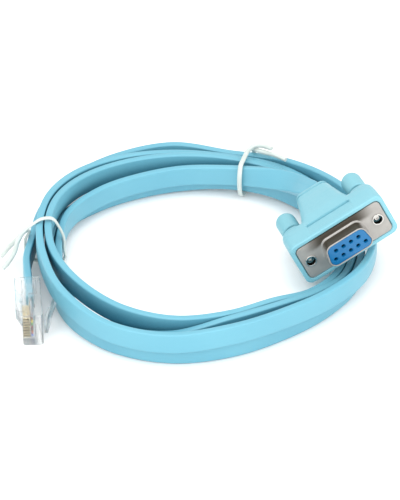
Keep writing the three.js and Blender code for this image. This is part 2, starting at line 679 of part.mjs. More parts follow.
// The latch: a wide shoulder at its root by the nose, a narrow tail reaching back and away
function plugLatch() {
  const plan = new THREE.Shape([
    new THREE.Vector2(-LATCH_SHOULDER_HALF, 0),
    new THREE.Vector2(-LATCH_SHOULDER_HALF, LATCH_SHOULDER),
    new THREE.Vector2(-LATCH_TAIL_HALF, LATCH_SHOULDER),
    new THREE.Vector2(-LATCH_TAIL_HALF, LATCH_LENGTH),
    new THREE.Vector2(LATCH_TAIL_HALF, LATCH_LENGTH),
    new THREE.Vector2(LATCH_TAIL_HALF, LATCH_SHOULDER),
    new THREE.Vector2(LATCH_SHOULDER_HALF, LATCH_SHOULDER),
    new THREE.Vector2(LATCH_SHOULDER_HALF, 0),
  ].reverse());
  const geometry = prism(plan, -LATCH_THICKNESS / 2, LATCH_THICKNESS / 2);
  geometry.rotateX(-Math.PI / 2).rotateZ(-Math.PI / 2);
  const latch = piece('plug_latch', geometry, paint.clear());
  latch.position.set(PLUG_LATCH_SIDE + CLEARANCE + LATCH_THICKNESS / 2, 0, LATCH_ROOT);
  latch.rotation.y = radians(-LATCH_ANGLE);
  return latch;
}

connectorInner.add(frontShell(), insulator(), ...socketContacts(), hood());
SCREW_SIDES.forEach(([side, x]) => {
  connectorInner.add(eyelet(side, x), thumbscrewKnob(side, x), thumbscrewShaft(side, x));
});
plugInner.add(plugBody(), ...contactBlades(), ...conductors(), plugLatch());

const cable = new THREE.Group();
cable.add(
  flatCable(),
  twistTie('rear_twist_tie', REAR_TIE_HEADING, REAR_TIE),
  twistTie('left_twist_tie', LEFT_TIE_HEADING, LEFT_TIE),
);

// The origin lies on the floor, midway between the two connectors' far sides.
const ends = new THREE.Group();
ends.add(connector, plug);
ends.updateMatrixWorld(true);
const reach = new THREE.Box3().setFromObject(ends, true);
const middle = reach.getCenter(new THREE.Vector3());
const group = new THREE.Group();
group.add(ends, cable);
group.position.set(-middle.x, -middle.y, -reach.min.z);

export default group;
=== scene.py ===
"""A light blue flat console cable: wound on edge in a loose loop, held by two twist ties,
with a moulded nine-way D connector on one end and a clear modular plug on the other."""
import json
import math

import bmesh
import bpy
import numpy as np
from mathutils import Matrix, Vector


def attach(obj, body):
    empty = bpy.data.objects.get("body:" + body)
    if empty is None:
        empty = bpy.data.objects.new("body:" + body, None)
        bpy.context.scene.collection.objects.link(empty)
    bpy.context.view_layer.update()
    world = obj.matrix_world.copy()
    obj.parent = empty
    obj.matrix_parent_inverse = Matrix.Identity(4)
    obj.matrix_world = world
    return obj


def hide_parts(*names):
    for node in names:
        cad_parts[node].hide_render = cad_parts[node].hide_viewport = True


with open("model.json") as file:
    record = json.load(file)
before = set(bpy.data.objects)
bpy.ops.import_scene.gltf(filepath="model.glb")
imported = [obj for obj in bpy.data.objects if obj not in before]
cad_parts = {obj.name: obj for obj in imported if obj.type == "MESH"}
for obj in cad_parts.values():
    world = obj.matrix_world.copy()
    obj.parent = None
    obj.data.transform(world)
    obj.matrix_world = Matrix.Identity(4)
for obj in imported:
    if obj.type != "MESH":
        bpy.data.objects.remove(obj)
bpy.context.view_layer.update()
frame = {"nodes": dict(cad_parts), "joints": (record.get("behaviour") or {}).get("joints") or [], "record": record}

MM = 0.001
UP = np.array([0.0, 0.0, 1.0])

# Cable, in millimetres
CABLE_WIDTH = 7.0
CABLE_THICKNESS = 2.4
CABLE_CORNER = 0.6
CABLE_STEP = 0.9
# The middle of the connector's face, from the loop's centre on the floor
FACE_AT = (45.0, -15.5, 19.0)

# The ribbon's way round the loop: heading in degrees, distance of its middle from the loop's
# centre and height of its lower edge
TURNS = [
    (80, 40.2, 4.8), (100, 40.4, 4.4), (120, 41.4, 4.0), (140, 43.8, 3.8), (160, 46.6, 3.0),
    (180, 46.8, 2.0), (200, 48.2, 0.8), (220, 52.35, 0.2), (240, 53.0, 0.0), (260, 52.6, 2.0),
    (280, 49.2, 5.4), (300, 47.0, 5.2), (320, 46.8, 2.6), (340, 48.3, 0.2), (360, 48.8, 0.0),
    (380, 48.8, 0.4), (400, 48.4, 1.4), (420, 48.0, 3.0), (440, 46.7, 4.6), (460, 46.8, 5.6),
    (480, 49.0, 5.6), (500, 50.2, 6.6), (520, 50.2, 8.3), (540, 50.0, 9.0), (560, 50.2, 8.4),
    (580, 49.9, 7.1), (600, 50.1, 5.9), (620, 49.6, 5.6), (640, 46.4, 5.4), (660, 43.6, 4.6),
    (680, 44.0, 1.4), (700, 45.6, 0.0), (720, 46.1, 0.0), (740, 46.0, 0.0), (760, 44.8, 0.6),
    (780, 43.8, 1.4), (800, 42.9, 1.4), (820, 42.9, 0.6), (840, 43.9, 0.2), (860, 46.3, 0.2),
    (880, 49.2, 0.8), (900, 49.6, 1.6), (920, 51.0, 0.6), (940, 54.8, 0.0), (960, 57.0, 0.0),
    (980, 56.2, 0.0), (1000, 52.7, 0.0), (1020, 49.8, 0.0), (1040, 49.6, 0.0), (1060, 51.0, 0.0),
    (1080, 51.5, 0.0), (1100, 51.5, 0.0), (1120, 51.1, 1.0), (1140, 50.8, 2.4), (1160, 49.5, 3.4),
    (1180, 50.2, 4.6), (1200, 52.2, 5.6), (1220, 53.4, 7.0), (1240, 53.2, 8.4), (1260, 52.8, 8.6),
    (1280, 53.9, 8.2), (1300, 57.6, 8.0), (1320, 59.8, 6.0), (1340, 59.0, 5.8), (1360, 55.5, 6.8),
    (1380, 52.7, 6.8), (1400, 52.8, 6.2), (1420, 54.6, 5.6), (1440, 55.2, 5.4), (1460, 54.6, 5.2),
    (1480, 53.8, 4.6), (1500, 53.6, 3.6), (1520, 52.6, 3.0), (1540, 57.8, 3.0), (1560, 57.8, 3.0),
    (1580, 57.0, 3.0), (1600, 55.8, 2.8), (1620, 55.6, 2.5),
]
# Between the neck and the loop: the ribbon's middle, and its width's lean outward in degrees
LEAD = [
    (33.0, 21.2, 15.2, 62), (30.8, 26.0, 13.2, 52), (27.0, 31.2, 11.2, 38),
    (20.8, 35.8, 9.6, 20), (13.9, 38.3, 8.7, 6),
]
# Where it starts inside the neck, and where it runs in the plug, along their own axes
NECK_STATIONS = (-29.8, -34.8)
PLUG_STATIONS = (-15.0, -5.0, 8.6)

# Twist ties: distance from the loop's centre, shift along the ribbon and height
TIE_HALF_WIDTH = 0.8
TIE_HALF_THICKNESS = 0.5
TIE_STEP = 0.35
# Shares of its half thickness: its body, the rib over its wire and what a twist adds. The rib's
# spread is a share of its half width.
TIE_BODY = 0.75
TIE_RIB = 0.18
TIE_RIB_SPREAD = 0.35
TIE_TWIST_FULLNESS = 0.6
REAR_TIE_HEADING = 71.2
REAR_TIE = [
    (49.0, -12.6, 12.6), (50.4, -8.0, 12.7), (51.4, -4.2, 12.4), (52.2, -1.2, 12.2), (54.2, 0.3, 11.0),
    (55.1, 0.6, 8.6), (55.1, 0.6, 4.4), (53.8, 0.5, 1.7), (49.6, 0.2, 0.9), (42.6, 0, 0.65),
    (39.4, 0, 1.9), (38.0, 0, 5.4), (38.0, 0, 11.0), (39.4, 0.2, 13.0), (43.4, 0.6, 13.1),
    (47.0, 1.0, 12.7), (50.0, 0.9, 12.9), (51.8, -0.6, 13.9), (52.2, -4.0, 14.2), (51.0, -7.0, 14.6),
]
LEFT_TIE_HEADING = 180
LEFT_TIE = [
    (65.6, -1.2, 1.5), (63.3, -0.6, 5.2), (60.0, -0.2, 9.2), (57.9, -0.6, 11.6), (56.4, -0.8, 11.6),
    (57.6, -0.4, 8.6), (57.7, 0, 5.4), (57.0, 0, 1.7), (54.4, 0, 0.75), (50.0, 0, 0.7),
    (45.8, 0, 0.7), (45.0, 0, 1.8), (45.1, 0, 5.6), (45.1, 0, 9.2), (46.5, 0, 13.6),
    (48.8, 0, 17.0), (52.2, 0.2, 16.9), (55.1, 0.8, 15.2), (57.6, 1.6, 13.2), (59.6, 2.6, 10.6),
    (61.2, 4.2, 6.2), (63.4, 5.4, 3.0), (64.8, 6.0, 1.5),
]

# Nine-way connector
SCREW_SPACING = 25.0
FLANGE_HALF_WIDTH = 15.4
FLANGE_HALF_HEIGHT = 6.25
FLANGE_THICKNESS = 0.8
FLANGE_CORNER = 1.6
SKIRT_HALF_WIDE = 8.35
SKIRT_HALF_NARROW = 6.95
SKIRT_HALF_HEIGHT = 4.15
SKIRT_CORNER = 2.6
SKIRT_REACH = 4.8
SKIRT_WALL = 0.4
SKIRT_ROOT = 0.9
SCREW_HOLE = 1.8
SCREW_HOLE_REACH = 3
# The flange's rim: how far it is drawn in, and its depth
FLANGE_RIM = [
    (0.15, -FLANGE_THICKNESS), (0.0, -FLANGE_THICKNESS + 0.15), (0.0, -0.15), (0.05, -0.04), (0.15, 0.0),
]
INSULATOR_GAP = 0.05
INSULATOR_BACK = 5.5
INSULATOR_TOP = SKIRT_REACH - 0.05
INSULATOR_EDGE = 0.3
CONTACT_PITCH = 2.77
CONTACT_ROW_SPACING = 2.84
HOLE_RADIUS = 0.6
HOLE_MOUTH = 0.78
HOLE_SINK = 0.28
HOLE_LENGTH = 1.0
CHAMBER_RADIUS = 1.05
CONTACT_BACK = -4.5
CONTACT_SETBACK = 1.9
CONTACT_RADIUS = 0.72
CONTACT_BORE = 0.45

# Moulded hood. The cord leaves it at the neck's depth, and the moulding that shows ends sooner.
HOOD_DEPTH = 12.0
HOUSING_DEPTH = 17.0
NECK_SHOWN = 31.8
SCREW_CHANNEL = 1.5
VOXEL = 0.22
RELAX_FACTOR = 0.5
RELAX_ROUNDS = 3
# Its sections along each solid: depth, half width, half height and corner radius
BLOCK_SECTIONS = [
    (-HOOD_DEPTH, 16.1, 5.9, 1.8), (-HOOD_DEPTH + 0.35, 16.5, 6.3, 2.0),
    (-HOOD_DEPTH + 1.4, 16.75, 6.75, 2.2), (-7.2, 17.0, 7.4, 2.4), (-3.5, 17.1, 7.75, 2.4),
    (-0.7, 17.15, 8.0, 2.4), (-0.2, 17.05, 7.9, 2.35), (0, 16.85, 7.7, 2.2),
    (0, 15.95, 6.8, 2.0), (-0.15, 15.65, 6.5, 1.85), (-1.1, 15.6, 6.45, 1.8),
]
HOUSING_SECTIONS = [
    (-HOUSING_DEPTH, 3.3, 3.25, 2.6), (-HOUSING_DEPTH + 0.2, 3.55, 3.5, 2.8),
    (-HOUSING_DEPTH + 0.6, 3.7, 3.65, 2.9), (-HOUSING_DEPTH + 2.4, 4.0, 4.2, 2.9),
    (-HOOD_DEPTH, 4.45, 5.3, 2.8), (-5, 4.65, 6.0, 2.6),
]
SPINE_SECTIONS = [
    (-5, 9.8, 7.4, 2.6), (-9, 9.5, 7.25, 2.8), (-13, 8.9, 6.9, 3.0), (-17, 8.0, 6.2, 3.0),
    (-22, 7.1, 5.3, 2.8), (-26, 6.5, 4.4, 2.6), (-28.6, 6.15, 3.95, 2.5),
    (-28.9, 6.05, 3.85, 2.4), (-29.1, 5.45, 3.25, 2.2), (-29.6, 5.45, 3.25, 2.2),
    (-29.8, 5.95, 3.75, 2.3), (-30.8, 5.75, 3.5, 2.2), (-NECK_SHOWN + 0.25, 5.3, 3.05, 2.0),
    (-NECK_SHOWN, 4.75, 2.6, 1.7), (-NECK_SHOWN, 4.05, 1.75, 1.2),
    (-NECK_SHOWN + 0.6, 3.85, 1.55, 1.1), (-NECK_SHOWN + 1.5, 3.85, 1.55, 1.1),
]
# The bare label recess on its upper side, which starts at that height, the groove that ends the
# recess, and the ring groove round the neck as a share of its width and height
UPPER_SIDE = 6.0
RECESS_HALF_WIDTH = 8.0
RECESS_BACK = -7.2
RECESS_FRONT = -2.4
RECESS_SINK = 0.12
RECESS_SLOPE = 0.3
RECESS_EDGE = 0.3
GROOVE = (-7.65, -6.95)
GROOVE_EDGE = 0.2
GROOVE_SINK = 0.85
NECK_RING = (-29.9, -28.8)
NECK_RING_EDGE = 0.25
NECK_RING_SHARE = 0.11

# Thumbscrews and eyelets
KNOB_RADIUS = 3.4
KNOB_FRONT = -18.3
KNOB_LENGTH = 9.8
KNOB_DOME = 2.6
KNOB_EDGE = 0.55
KNOB_BORE = 1.4
KNOB_BORE_DEPTH = 5.3
SCREW_RADIUS = 1.1
SCREW_START = KNOB_FRONT - 5
SCREW_END = -1.7
SCREW_TIP = [(0.88, -1.0), (0.8, -0.92), (0.45, -0.92), (0.4, -1.3), (0, -1.3)]
THREAD_START = -11
THREAD_PITCH = 0.64
THREAD_HALF_DEPTH = 0.07
EYELET_BORE = 1.5
EYELET_OUTSIDE = 1.7
EYELET_LIP = 1.95
EYELET_BACK = -2.5
EYELET_SEAT = 0.04
EYELET_PROUD = 0.38
# Painted shade in the eyelets' bores: how far beyond the bore's radius and up to what height it reaches
EYELET_SHADE_SKIN = 0.12
EYELET_SHADE_TOP = 0.3

# Modular plug
PLUG_HALF_WIDTH = 5.84
PLUG_LENGTH = 21.5
PLUG_SIDE = [
    (-4.6, 0), (3.6, 0), (3.6, 20.9), (3.0, 21.5), (-2.2, 21.5), (-2.8, 20.9), (-2.8, 11.5), (-4.6, 6.5),
]
PLUG_CORNERS = [0.5, 0.5, 0.5, 0.3, 0.3, 0.3, 0.8, 0.8]
PLUG_EDGE = 0.4
NOSE_MIDDLE = 0.4
# Its pockets: bounds across its side, across its width and along its length
MOUTH = ((-2.3, 2.3), (-4.4, 4.4), (-1, 1.2))
JACKET_POCKET = ((-1.5, 1.5), (-3.8, 3.8), (-1, 8.9))
WIRE_POCKET = ((-0.6, 1.0), (-4.6, 4.6), (8.0, 18.8))
CRIMP_POCKET = ((-6, -2.2), (-3, 3), (9.2, 11.2))
BLADE_SLOT = ((-6, -0.3), (13.6, 19.9))
BLADE_SLOT_HALF = 0.33
LATCH_LENGTH = 14.2
LATCH_PLAN = [
    (-3.0, 0), (3.0, 0), (3.0, 6.2), (1.6, 6.2),
    (1.6, LATCH_LENGTH), (-1.6, LATCH_LENGTH), (-1.6, 6.2), (-3.0, 6.2),
]
LATCH_CORNERS = [0.5, 0.5, 0.4, 0.7, 0.5, 0.5, 0.7, 0.4]
LATCH_ROOT = (4.45, 19.4)
LATCH_ANGLE = 14.5
LATCH_THICKNESS = 1.1
LATCH_EDGE = 0.22
LATCH_TAPER = 0.3
WIRES = ("blue", "orange", "black", "red", "green", "yellow", "brown", "slate")
WIRE_PITCH = 1.02
WIRE_RADIUS = 0.36
WIRE_STEP = 0.3
# Along the wires: place across the plug's side, pitch and place along the plug
WIRE_FAN = [
    (0.0, 0.76, 7.6), (0.0, 0.78, 8.8), (0.1, 0.98, 10.6), (0.2, WIRE_PITCH, 12.6), (0.2, WIRE_PITCH, 18.5),
]

# The photograph's frame and the camera that took it
PICTURE = (400, 500)
LOOP_PIXEL = (203, 262)
PIXELS_PER_MM = 3.07
CAMERA_ELEVATION = 34
CAMERA_DISTANCE = 1050
SENSOR = 36

# Floor and room, in metres. A light is its name, its place, its side and its watts.
FLOOR_HALF = 3.0
FLOOR_GAP = 0.0002
ROOM_COLOUR = (1, 1, 0.985)
ROOM_STRENGTH = 1.05
SOFTBOXES = [
    ("overhead", (-0.25, -0.2, 1.3), 1.4, 9),
    ("front_left", (-0.5, -1.5, 0.9), 1.4, 13),
    ("front_right", (1.1, -0.8, 0.9), 1.0, 8),
]

# Finishes: linear colours, and noise scales per metre
JACKET_COLOURS = ((0.122, 0.368, 0.478), (0.140, 0.398, 0.504))
# Painted shade: the jacket's colour is multiplied by this between its turns
JACKET_PAINTED_SHADE = (0.12, 0.34, 0.42)
HOOD_COLOURS = ((0.182, 0.435, 0.515), (0.20, 0.46, 0.54))
KNOB_COLOURS = ((0.18, 0.43, 0.50), (0.20, 0.455, 0.53))
# Painted shade: the hood's and knobs' colour is multiplied by this in their grooves
HOOD_PAINTED_SHADE = (0.3, 0.5, 0.56)
INSULATOR_COLOURS = ((0.001, 0.118, 0.30), (0.002, 0.138, 0.335))
TIE_COLOURS = ((0.50, 0.56, 0.535), (0.57, 0.62, 0.595))
STEEL_COLOUR = (0.385, 0.372, 0.352)
# Painted reflection: the dark brown painted on the shell's sheet
PAINTED_REFLECTION_DARK = (0.05, 0.042, 0.03)
# Painted shade: near black for the faces deep in the eyelets' bores
BORE_SHADE_COLOUR = (0.02, 0.02, 0.018)
NICKEL_COLOUR = (0.70, 0.69, 0.66)
GOLD_COLOUR = (0.80, 0.67, 0.42)
CLEAR_COLOUR = (0.97, 0.985, 0.985)
PAPER_COLOUR = (0.93, 0.93, 0.93)
WIRE_COLOURS = {
    "blue": (0.03, 0.12, 0.55), "orange": (0.69, 0.18, 0.02), "black": (0.02, 0.02, 0.022),
    "red": (0.30, 0.015, 0.025), "green": (0.03, 0.32, 0.08), "yellow": (0.75, 0.57, 0.04),
    "brown": (0.16, 0.03, 0.02), "slate": (0.25, 0.28, 0.32),
}
BROAD_MOTTLE = 60.0
FINE_MOTTLE = 300.0
GLOSS_PATCHES = 900.0
SPARK_GRAIN = 2600.0
# The shell's painted reflection: heights that it rises between, sides that it fades between, and the
# shares of the skirt's reach where the root ends, the wall starts and the rim starts
REFLECTION_HEIGHTS = (2.7, 4.3)
REFLECTION_SIDES = (14.0, 6.5)
SKIRT_SHARES = (0.03, 0.15, 0.93)


def unit(vectors):
    """Each vector over its own length."""
    vectors = np.asarray(vectors, float)
    return vectors / np.linalg.norm(vectors, axis=-1, keepdims=True)


# Frames of the connector, the loop and the plug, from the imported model's joints and mounts
joints = {joint["name"]: joint for joint in frame["joints"]}
mounts = {mount["name"]: mount for mount in frame["record"]["mounts"]}
left_screw = np.array(joints["left_thumbscrew_turn"]["pos_m"]) / MM
right_screw = np.array(joints["right_thumbscrew_turn"]["pos_m"]) / MM
CONNECTOR_AT = (left_screw + right_screw) / 2
connector_x = unit(right_screw - left_screw)
connector_z = unit(joints["left_thumbscrew_turn"]["axis"])
CONNECTOR_AXES = np.array([connector_x, np.cross(connector_z, connector_x), connector_z])
plug_w = unit(mounts["plug_nose_face"]["axis"])
PLUG_AXES = np.array([np.cross(UP, plug_w), UP, plug_w])
PLUG_AT = (
    np.array(mounts["plug_nose_face"]["pos_m"]) / MM - NOSE_MIDDLE * PLUG_AXES[0] - PLUG_LENGTH * plug_w
)
LOOP_AT = CONNECTOR_AT - np.array(FACE_AT)
LOOP_AXES = np.eye(3)


def at_heading(degrees):
    """The level unit vector that points outward from the loop's centre at each heading."""
    angle = np.radians(degrees)
    return np.stack([np.cos(angle), np.sin(angle), np.zeros_like(angle)], axis=-1)


def smooth_through(stations, spacing):
    """Rows on a smooth curve through rows of numbers whose first three are a place.
    Between two stations it is a cubic that leaves each with the slope of the parabola through
    it and its two neighbours, measured along the chords."""
    stations = np.asarray(stations, float)
    knots = np.concatenate([[0], np.cumsum(np.linalg.norm(np.diff(stations[:, :3], axis=0), axis=1))])
    slopes = np.gradient(stations, knots, axis=0)
    along = np.linspace(0, knots[-1], round(knots[-1] / spacing) + 1)
    span = np.clip(np.searchsorted(knots, along, side="right") - 1, 0, len(knots) - 2)
    length = (knots[span + 1] - knots[span])[:, None]
    t = (along - knots[span])[:, None] / length
    return (
        (2 * t**3 - 3 * t**2 + 1) * stations[span]
        + (t**3 - 2 * t**2 + t) * length * slopes[span]
        + (3 * t**2 - 2 * t**3) * stations[span + 1]
        + (t**3 - t**2) * length * slopes[span + 1]
    )


def quarter_turn(vectors):
    """Plane vectors turned a quarter to the left."""
    return np.stack([-vectors[..., 1], vectors[..., 0]], axis=-1)


def outline(corners, radius, steps=6):
    """A polygon's outline as a function of how far it is drawn in.
    Every side moves inward by the inset, so a corner moves along the sum of its two sides'
    inward normals over one plus the cosine of its turn. An arc then rounds each corner, its
    radius less the inset outside and more inside, and starts its tangent length before it."""
    corners = np.asarray(corners, float)
    arriving = unit(corners - np.roll(corners, 1, axis=0))
    leaving = np.roll(arriving, -1, axis=0)
    cosine = (arriving * leaving).sum(axis=1)
    turn = np.arctan2(arriving[:, 0] * leaving[:, 1] - arriving[:, 1] * leaving[:, 0], cosine)
    radius = np.broadcast_to(np.asarray(radius, float), turn.shape)

    def drawn_in(inset=0.0):
        moved = corners + inset * (quarter_turn(arriving) + quarter_turn(leaving)) / (1 + cosine)[:, None]
        bend = np.sign(turn)
        arc = np.maximum(radius - bend * inset, 0.02)
        start = moved - arriving * (arc * np.tan(np.abs(turn) / 2))[:, None]
        centre = start + quarter_turn(arriving) * (arc * bend)[:, None]
        angle = np.linspace(0, 1, steps + 1)[None, :] * turn[:, None]
        spoke = (start - centre)[:, None, :]
        swung = spoke * np.cos(angle)[..., None] + quarter_turn(spoke) * np.sin(angle)[..., None]
        return (centre[:, None, :] + swung).reshape(-1, 2)

    return drawn_in


def box_corners(half_x, half_y):
    """The corners of an upright rectangle about the origin, counter-clockwise."""
    return [(-half_x, -half_y), (half_x, -half_y), (half_x, half_y), (-half_x, half_y)]


def with_depth(points, depth):
    """Plane points given a third coordinate."""
    return np.column_stack([points, np.full(len(points), depth)])


def lofted(rings, joined=False):
    """Points and faces of a skin stretched over rings of equally many points.
    Neighbouring rings are joined by four-sided faces; the two ends are closed by a flat face,
    or by joining the last ring to the first."""
    rings = np.asarray(rings, float)
    count, around = rings.shape[:2]
    index = np.arange(count * around).reshape(count, around)
    low = index if joined else index[:-1]
    high = np.roll(index, -1, axis=0) if joined else index[1:]
    quads = np.stack([low, np.roll(low, -1, axis=1), np.roll(high, -1, axis=1), high], axis=-1)
    faces = quads.reshape(-1, 4).tolist()
    if not joined:
        faces += [index[0][::-1].tolist(), index[-1].tolist()]
    return rings.reshape(-1, 3), faces


def slab(drawn_in, low, high, edge, steps=4):
    """An outline drawn up from low to high with rounded rims: towards each end it is drawn in
    by the edge less its cosine while it climbs by the edge less its sine."""
    angle = np.linspace(0, math.pi / 2, steps + 1)
    rim = [(edge * (1 - math.sin(a)), edge * (1 - math.cos(a))) for a in angle]
    rings = [with_depth(drawn_in(inset), low + rise) for inset, rise in rim]
    rings += [with_depth(drawn_in(inset), high - rise) for inset, rise in reversed(rim)]
    return lofted(rings)


def turned(profile, sides=48, closed=False):
    """A profile of radius and height pairs swept round the third axis."""
    profile = np.asarray(profile, float)
    angle = np.linspace(0, 2 * math.pi, sides, endpoint=False)
    radius = profile[:, :1]
    rings = np.stack(
        [radius * np.cos(angle), radius * np.sin(angle), np.repeat(profile[:, 1:2], sides, axis=1)], axis=-1
    )
    return lofted(rings, joined=closed)


def moved_by(shell, offset):
    """A shell shifted by an offset."""
    points, faces = shell
    return points + np.asarray(offset, float), faces


def gathered(shells):
    """Several shells as one list of points and faces."""
    points, faces, start = [], [], 0
    for shell_points, shell_faces in shells:
        points.append(shell_points)
        faces += [[start + i for i in face] for face in shell_faces]
        start += len(shell_points)
    return np.concatenate(points), faces


def mesh_object(name, points, faces):
    """A closed mesh with its doubles merged and its faces turned outward."""
    mesh = bpy.data.meshes.new(name)
    mesh.from_pydata(points.tolist(), [], faces)
    made = bmesh.new()
    made.from_mesh(mesh)
    bmesh.ops.remove_doubles(made, verts=made.verts, dist=1e-7)
    bmesh.ops.dissolve_degenerate(made, edges=made.edges, dist=1e-8)
    bmesh.ops.recalc_face_normals(made, faces=made.faces)
    made.to_mesh(mesh)
    made.free()
    shown = bpy.data.objects.new(name, mesh)
    bpy.context.scene.collection.objects.link(shown)
    return shown


def in_part_frame(points, at, axes):
    """Points of a piece's own frame, in the part's frame and in metres."""
    return (np.asarray(at) + np.asarray(points) @ np.asarray(axes)) * MM


def after_modifiers(shown):
    """The object's mesh as its modifiers leave it."""
    bpy.context.view_layer.update()
    evaluated = shown.evaluated_get(bpy.context.evaluated_depsgraph_get())
    finished = bpy.data.meshes.new_from_object(evaluated)
    shown.modifiers.clear()
    shown.data = finished
    return shown


def cut(shown, cutters):
    """The object less the space that the cutters fill."""
    for cutter in cutters:
        modifier = shown.modifiers.new("cut", "BOOLEAN")
        modifier.operation = "DIFFERENCE"
        modifier.solver = "EXACT"
        modifier.object = cutter
    after_modifiers(shown)
    for cutter in cutters:
        bpy.data.objects.remove(cutter)
    return shown


def dressed(shown, finish, body, nodes=(), sharp=35):
    """Gives a piece its finish, smooth shading and body, and hides the nodes it stands for."""
    shown.data.materials.clear()
    shown.data.materials.append(finish)
    shown.data.shade_smooth()
    shown.data.set_sharp_from_angle(angle=math.radians(sharp))
    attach(shown, body)
    if nodes:
        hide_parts(*nodes)
    return shown


def points_of(shown):
    """The points of an object's mesh as rows."""
    places = np.empty(len(shown.data.vertices) * 3, np.float32)
    shown.data.vertices.foreach_get("co", places)
    return places.reshape(-1, 3)


def keep_lay(shown, rows):
    """Keeps a row of three numbers for each point as the lay attribute."""
    attribute = shown.data.attributes.new("lay", "FLOAT_VECTOR", "POINT")
    attribute.data.foreach_set("vector", rows.astype(np.float32).ravel())


def keep_face_places(shown):
    """Keeps each point's place in the connector's frame, in millimetres, as the lay attribute."""
    local = (points_of(shown) / MM - CONNECTOR_AT) @ CONNECTOR_AXES.T
    keep_lay(shown, local)
    return local


def piece(name, shell, at, axes):
    """A shell in a piece's own frame as an object of the part's frame."""
    points, faces = shell
    return mesh_object(name, in_part_frame(points, at, axes), faces)


def connector_piece(name, shell, x=0.0, y=0.0):
    """A shell in the connector's frame, shifted across its face, as an object."""
    return piece(name, moved_by(shell, (x, y, 0)), CONNECTOR_AT, CONNECTOR_AXES)


def plug_piece(name, shell):
    """A shell in the plug's frame as an object."""
    return piece(name, shell, PLUG_AT, PLUG_AXES)


# Camera
def photographer():
    """The camera looks down on the loop from the front; its aim is shifted so that the loop's
    centre falls on its pixel, and its lens gives the photograph's pixels per millimetre there."""
    elevation = math.radians(CAMERA_ELEVATION)
    back = np.array([0, -math.cos(elevation), math.sin(elevation)])
    upward = np.array([0, math.sin(elevation), math.cos(elevation)])
    right = np.array([1.0, 0, 0])
    across = (PICTURE[0] / 2 - LOOP_PIXEL[0]) / PIXELS_PER_MM
    rise = (LOOP_PIXEL[1] - PICTURE[1] / 2) / PIXELS_PER_MM
    aim = LOOP_AT + across * right + rise * upward
    camera = bpy.data.objects.new("camera", bpy.data.cameras.new("camera"))
    bpy.context.scene.collection.objects.link(camera)
    camera.data.sensor_width = SENSOR
    camera.data.lens = SENSOR * PIXELS_PER_MM * CAMERA_DISTANCE / PICTURE[1]
    camera.location = Vector((aim + CAMERA_DISTANCE * back) * MM)
    camera.rotation_mode = "QUATERNION"
    camera.rotation_quaternion = Vector(-back).to_track_quat("-Z", "Y")
    camera.data.clip_start = 0.05
    camera.data.clip_end = 20
    bpy.context.scene.camera = camera


# Finishes
def new_finish(name, colour, roughness, metallic=0.0):
    """A material with its shader's main values set."""
    made = bpy.data.materials.new(name)
    made.use_nodes = True
    shader = made.node_tree.nodes["Principled BSDF"]
    shader.inputs["Base Color"].default_value = (*colour, 1)
    shader.inputs["Roughness"].default_value = roughness
    shader.inputs["Metallic"].default_value = metallic
    return made, shader


def add_node(made, kind, **values):
    """A node of that kind with its inputs set by name."""
    node = made.node_tree.nodes.new(kind)
    for name, value in values.items():
        node.inputs[name].default_value = value
    return node


def noise_on(made, place, scale, detail=3.0, stretch=(1, 1, 1)):
    """Noise on a place socket, finer along the axes that are stretched."""
    mapping = add_node(made, "ShaderNodeMapping", Scale=stretch)
    noise = add_node(made, "ShaderNodeTexNoise", Scale=scale, Detail=detail)
    made.node_tree.links.new(place, mapping.inputs["Vector"])
    made.node_tree.links.new(mapping.outputs["Vector"], noise.inputs["Vector"])
    return noise.outputs["Fac"]


def ramp_to(made, factor, socket, low, high):
    """Takes a factor through a ramp from low to high, colours or greys, into a socket."""
    ramp = add_node(made, "ShaderNodeValToRGB")
    ramp.color_ramp.elements[0].position = 0.3
    ramp.color_ramp.elements[1].position = 0.7
    for element, value in zip(ramp.color_ramp.elements, (low, high)):
        element.color = (*value, 1) if np.ndim(value) else (value, value, value, 1)
    made.node_tree.links.new(factor, ramp.inputs["Fac"])
    made.node_tree.links.new(ramp.outputs["Color"], socket)


def bump_from(made, height, shader, distance):
    """Turns a height between 0 and 1 into bump of that distance in metres."""
    bump = add_node(made, "ShaderNodeBump", Strength=1.0, Distance=distance)
    made.node_tree.links.new(height, bump.inputs["Height"])
    made.node_tree.links.new(bump.outputs["Normal"], shader.inputs["Normal"])


def object_place(made):
    """The Object coordinates' socket."""
    return add_node(made, "ShaderNodeTexCoord").outputs["Object"]


def lay_place(made):
    """The lay attribute's socket."""
    lay = add_node(made, "ShaderNodeAttribute")
    lay.attribute_name = "lay"
    return lay.outputs["Vector"]


def worked_out(made, operation, *sources):
    """What a Math node makes of its source sockets."""
    node = add_node(made, "ShaderNodeMath")
    node.operation = operation
    for source, socket in zip(sources, node.inputs):
        made.node_tree.links.new(source, socket)
    return node.outputs["Value"]


def rising(made, source, start, end, easing):
    """A socket's value brought from start to end onto 0 to 1, eased or in a straight line."""
    node = add_node(made, "ShaderNodeMapRange")
    node.interpolation_type = easing
    node.inputs["From Min"].default_value = start
    node.inputs["From Max"].default_value = end
    made.node_tree.links.new(source, node.inputs["Value"])
    return node.outputs["Result"]


def moulded_plastic(name, colours, roughness, grain, mottle=BROAD_MOTTLE):
    """Coloured plastic: faint mottling, a fine spark-eroded grain and uneven gloss."""
    made, shader = new_finish(name, colours[0], roughness)
    place = object_place(made)
    ramp_to(made, noise_on(made, place, mottle), shader.inputs["Base Color"], *colours)
    gloss = noise_on(made, place, GLOSS_PATCHES)
    ramp_to(made, gloss, shader.inputs["Roughness"], roughness - 0.05, roughness + 0.07)
    bump_from(made, noise_on(made, place, SPARK_GRAIN), shader, grain)
    return made


